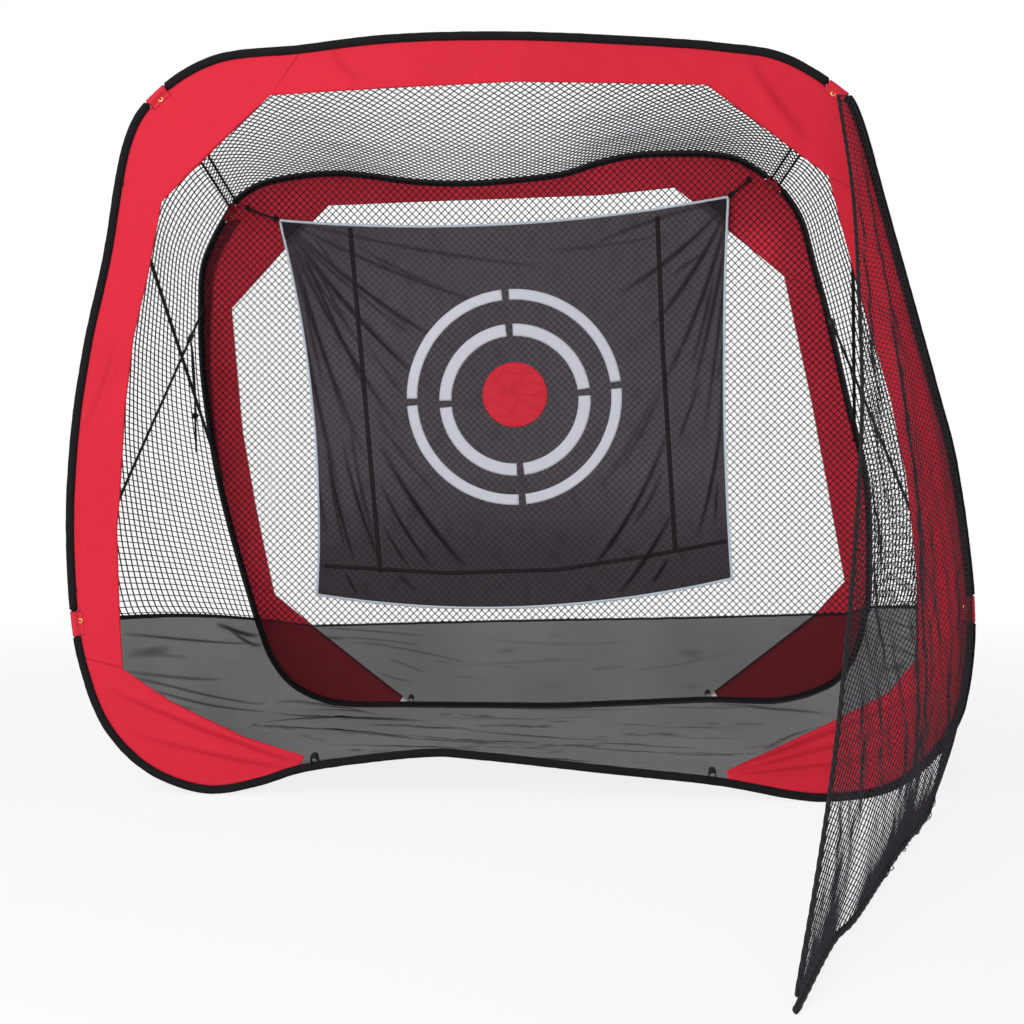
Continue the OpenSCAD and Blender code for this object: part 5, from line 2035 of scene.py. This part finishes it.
# Folds in millimetres: start, end, width, bend, height, darkness of the painted shade
TARGET_FOLDS = (
    ((-885, 1745), (-180, 1240), 14, 34, 7, 0.9), ((-888, 1740), (-330, 1120), 17, 30, 8, 1.0),
    ((-890, 1735), (-480, 1010), 15, 24, 7, 0.9), ((-892, 1730), (-600, 900), 15, 18, 7, 0.8),
    ((-893, 1725), (-690, 760), 14, 12, 6, 0.9), ((-875, 1748), (-60, 1420), 14, 26, 6, 0.7),
    ((-860, 1750), (60, 1580), 13, 20, 5, 0.6), ((-895, 1722), (-760, 640), 11, 8, 5, 0.8),
    ((-888, 1738), (-410, 1330), 10, 14, 4, 0.7), ((-890, 1733), (-560, 1240), 10, 10, 4, 0.7),
    ((694, 1826), (300, 1500), 15, -22, 7, 0.9), ((694, 1822), (420, 1380), 15, -20, 7, 1.0),
    ((696, 1818), (500, 1250), 14, -16, 7, 1.0), ((698, 1812), (560, 1130), 13, -12, 6, 0.9),
    ((700, 1806), (610, 1010), 11, -8, 5, 0.9), ((702, 1800), (655, 900), 10, -6, 5, 0.8),
    ((680, 1828), (180, 1660), 14, 16, 6, 0.6), ((428, 1137), (241, 809), 14, -10, 5, 0.6),
    ((456, 1158), (313, 880), 12, -8, 5, 0.6), ((464, 873), (363, 681), 12, -8, 5, 0.7),
    ((485, 560), (428, 467), 10, -3, 5, 0.9), ((640, 1560), (560, 1240), 12, -6, 5, 0.8),
    ((620, 1640), (500, 1560), 11, 10, 4, 0.8), ((690, 1460), (655, 1180), 10, -4, 5, 0.8),
    ((560, 1400), (440, 1150), 14, -10, 5, 0.6), ((60, 1640), (500, 1700), 11, 12, 4, 0.5),
    ((-745, 1019), (-643, 541), 10, 14, 6, 1.0), ((-736, 938), (-674, 586), 8, 8, 5, 0.9),
    ((-683, 965), (-553, 541), 12, 12, 6, 0.9), ((-656, 1037), (-567, 613), 10, 10, 5, 0.7),
    ((-549, 947), (-246, 514), 18, 18, 8, 1.0), ((-549, 821), (-362, 514), 12, 12, 6, 0.9),
    ((-536, 667), (-442, 518), 9, 5, 5, 0.8), ((-549, 1037), (-330, 760), 14, 10, 5, 0.6),
    ((-478, 487), (-415, 432), 8, 2, 4, 0.7), ((-674, 496), (-629, 415), 8, 2, 4, 0.8),
    ((-800, 1130), (-742, 640), 9, 10, 5, 0.9), ((-838, 1060), (-805, 560), 8, 6, 5, 0.8),
    ((482, 1019), (212, 521), 14, -26, 6, 1.0), ((496, 717), (313, 432), 12, -9, 5, 1.0),
    ((596, 1190), (518, 970), 10, 0, 4, 0.9), ((672, 1101), (589, 640), 12, -13, 6, 1.0),
    ((661, 840), (650, 670), 8, 0, 3, 0.8), ((-843, 1696), (-586, 1129), 10, 4, 6, 1.0),
    ((-861, 1671), (-665, 1021), 9, 4, 6, 1.0), ((-836, 1580), (-747, 1154), 8, 2, 5, 0.9),
    ((-826, 1696), (-640, 1346), 9, 3, 5, 0.8), ((-622, 1660), (-283, 1497), 12, 10, 5, 0.6),
    ((-611, 1515), (-433, 1371), 12, 4, 5, 0.6), ((-790, 1714), (-661, 1534), 8, 2, 4, 0.7),
    ((-593, 1317), (-451, 1118), 10, 3, 4, 0.6),
)
LEFT_SKIRT_FOLDS = (
    ((313, 250), (246, 1174), 5, 0, 3, 0.9), ((331, 900), (268, 1235), 16, 4, 3, 0.9),
    ((320, 980), (215, 1240), 14, 2, 3, 0.85),
    ((236, 219), (171, 861), 6, 2, 4, 0.6), ((223, 235), (39, 1142), 5, 21, 5, 0.9),
    ((190, 344), (19, 1103), 5, 14, 5, 1.0), ((279, 274), (240, 657), 7, 1, 3, 0.35),
    ((156, 454), (119, 618), 5, 0, 3, 0.5), ((82, 634), (4, 822), 5, 2, 3, 0.4),
)
RIGHT_SKIRT_FOLDS = (((60, 300), (40, 1100), 6, 12, 3, 0.5), ((150, 250), (120, 1000), 5, -8, 3, 0.6))
FLOOR_FOLDS = (
    ((2035, 1166), (1493, 1236), 7, 36, 4, 0.9), ((2035, 1119), (1390, 1017), 7, -19, 4, 0.8),
    ((1850, 900), (1072, 595), 7, -11, 4, 0.6), ((1454, 1017), (689, 720), 7, -78, 4, 0.5),
    ((944, 626), (446, 540), 6, -57, 3, 0.5), ((1276, 1240), (689, 1205), 7, -12, 3, 0.4),
    ((689, 1240), (179, 1236), 7, -35, 3, 0.4), ((1671, 587), (1123, 454), 6, 16, 3, 0.5),
    ((689, 900), (332, 798), 8, -70, 3, 0.3),
    ((2030, 960), (1441, 1025), 6, 60, 5, 1.0), ((1799, 869), (1416, 743), 5, 3, 4, 0.7),
    ((1926, 1189), (1646, 1142), 5, 44, 4, 0.7), ((2030, 892), (1620, 814), 5, 9, 4, 0.6),
    ((1505, 822), (957, 673), 5, -58, 4, 0.7), ((1480, 908), (1276, 892), 5, -15, 4, 0.6),
    ((1913, 1135), (1607, 1103), 5, 54, 4, 0.5), ((995, 344), (804, 227), 4, -64, 3, 0.7),
    ((944, 696), (446, 587), 5, -6, 3, 0.35), ((1429, 1096), (829, 1127), 7, -48, 3, 0.3),
    ((829, 1025), (281, 955), 7, -42, 3, 0.3), ((421, 1236), (20, 1150), 13, 15, 4, 0.6),
    ((319, 556), (64, 1002), 5, 26, 4, 0.8), ((293, 509), (38, 955), 4, 13, 4, 0.5),
)
BACK_SKIRT_FOLDS = (
    ((-761, 289), (-382, 261), 5, -2, 3, 0.7), ((-725, 254), (-400, 226), 5, -7, 3, 0.6),
    ((-659, 236), (-232, 162), 5, -12, 3, 0.6), ((-520, 176), (-388, 127), 5, -3, 3, 0.6),
    ((-562, 134), (-424, 95), 5, 9, 3, 0.6), ((-760, 250), (-677, 247), 10, 1, 3, 0.7),
    ((-328, 148), (286, 184), 7, -1, 3, 0.25), ((-183, 251), (394, 247), 8, 16, 3, 0.25),
    ((322, 138), (755, 222), 7, 17, 3, 0.3),
)
PANEL_FOLDS = {
    "front_border_bottom_right": (
        ((575, 78), (1120, 300), 14, 10, 5, 0.75), ((590, 70), (1140, 240), 12, 8, 4, 0.6),
        ((600, 62), (1040, 130), 12, 6, 4, 0.6), ((640, 108), (1080, 380), 12, 12, 4, 0.5),
        ((700, 60), (1150, 190), 10, 4, 3, 0.5),
    ),
    "front_border_bottom_left": (
        ((-575, 96), (-1110, 300), 12, -10, 4, 0.5), ((-600, 80), (-1060, 180), 12, -8, 3, 0.4),
    ),
    "front_border_left": (
        ((-1128, 1480), (-1052, 1700), 14, -6, 5, 0.7), ((-1150, 1000), (-1060, 1250), 16, 8, 4, 0.3),
    ),
    "front_border_top": (
        ((-500, 1990), (-420, 1905), 20, 6, 4, 0.25), ((600, 1960), (760, 1740), 20, 10, 5, 0.3),
    ),
}


def panels(hoop: str, table: list, joined: Sequence[str] = (), shadow: dict | None = None) -> list[Panel]:
    """The border panels of a hoop from their table.

    Args:
        hoop: the hoop's name.
        table: label, start, end and inner edge of each.
        joined: the panels that are cut in one with the panel before them.
        shadow: how wide a band of painted shade under the sleeve is, for the panels that have one.

    Returns:
        The panels.
    """
    made = []
    for label, *shape in table:
        node = f"{hoop}_border_{label}"
        dark = (shadow or {}).get(label, 0.0)
        made.append(Panel(node, *shape, folds=PANEL_FOLDS.get(node, ()), joined=label in joined, shadow=dark))
    return made


def main() -> None:
    """Loads the frame and builds the cage round it."""
    logging.basicConfig(level=logging.INFO, format="%(name)s: %(message)s")
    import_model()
    bpy.context.scene.view_settings.view_transform = "Standard"
    Studio().build()
    front, rear = Outline(FRONT_POINTS, 0.055), Outline(REAR_POINTS, 1.335)
    left = SliderStrap("left_slider_strap", front, rear, 9.35, 12, 9 * MM, "left_slider_strap")
    TailCord(left).build()
    left.build()
    right = SliderStrap(
        "right_slider_strap", front, rear, 28.3, 30.45, 9 * MM, "right_slider_strap", body=Body.RIGHT_SLIDER
    )
    right.build()
    Strap("left_strap", front, rear, 13.63, 9.7, 11 * MM, "left_strap").build()
    Strap("right_strap", front, rear, 24, 32.45, 11 * MM, "right_strap").build()
    Hoop(
        "front", Body.FRONT, front, [9, 15, 23, 28],
        [("front_sleeve_top", 15, 23), ("front_sleeve_right", 23, 28), ("front_sleeve_bottom", 28, 46),
         ("front_sleeve_left", 9, 15)],
        panels("front", FRONT_PANELS, ("top_left",)), [1.95, 35.05], (-10 * MM, 20 * MM), "border_red",
    ).build()
    # The rear borders use the red that is painted brighter, standing in for light
    Hoop(
        "rear", Body.REAR, rear, [14, 27], [("rear_sleeve_top", 14, 27), ("rear_sleeve_bottom", 27, 57)],
        panels("rear", REAR_PANELS, shadow={"left": 46 * MM, "top_left": 46 * MM}), [2, 41], (-4 * MM, 14 * MM),
        "border_red_painted_lit",
    ).build()
    Tunnel(front, rear).build()
    Back(rear).build()
    Target(rear.depth).build()
    Wing(front).build()


if __name__ == "__main__":
    main()
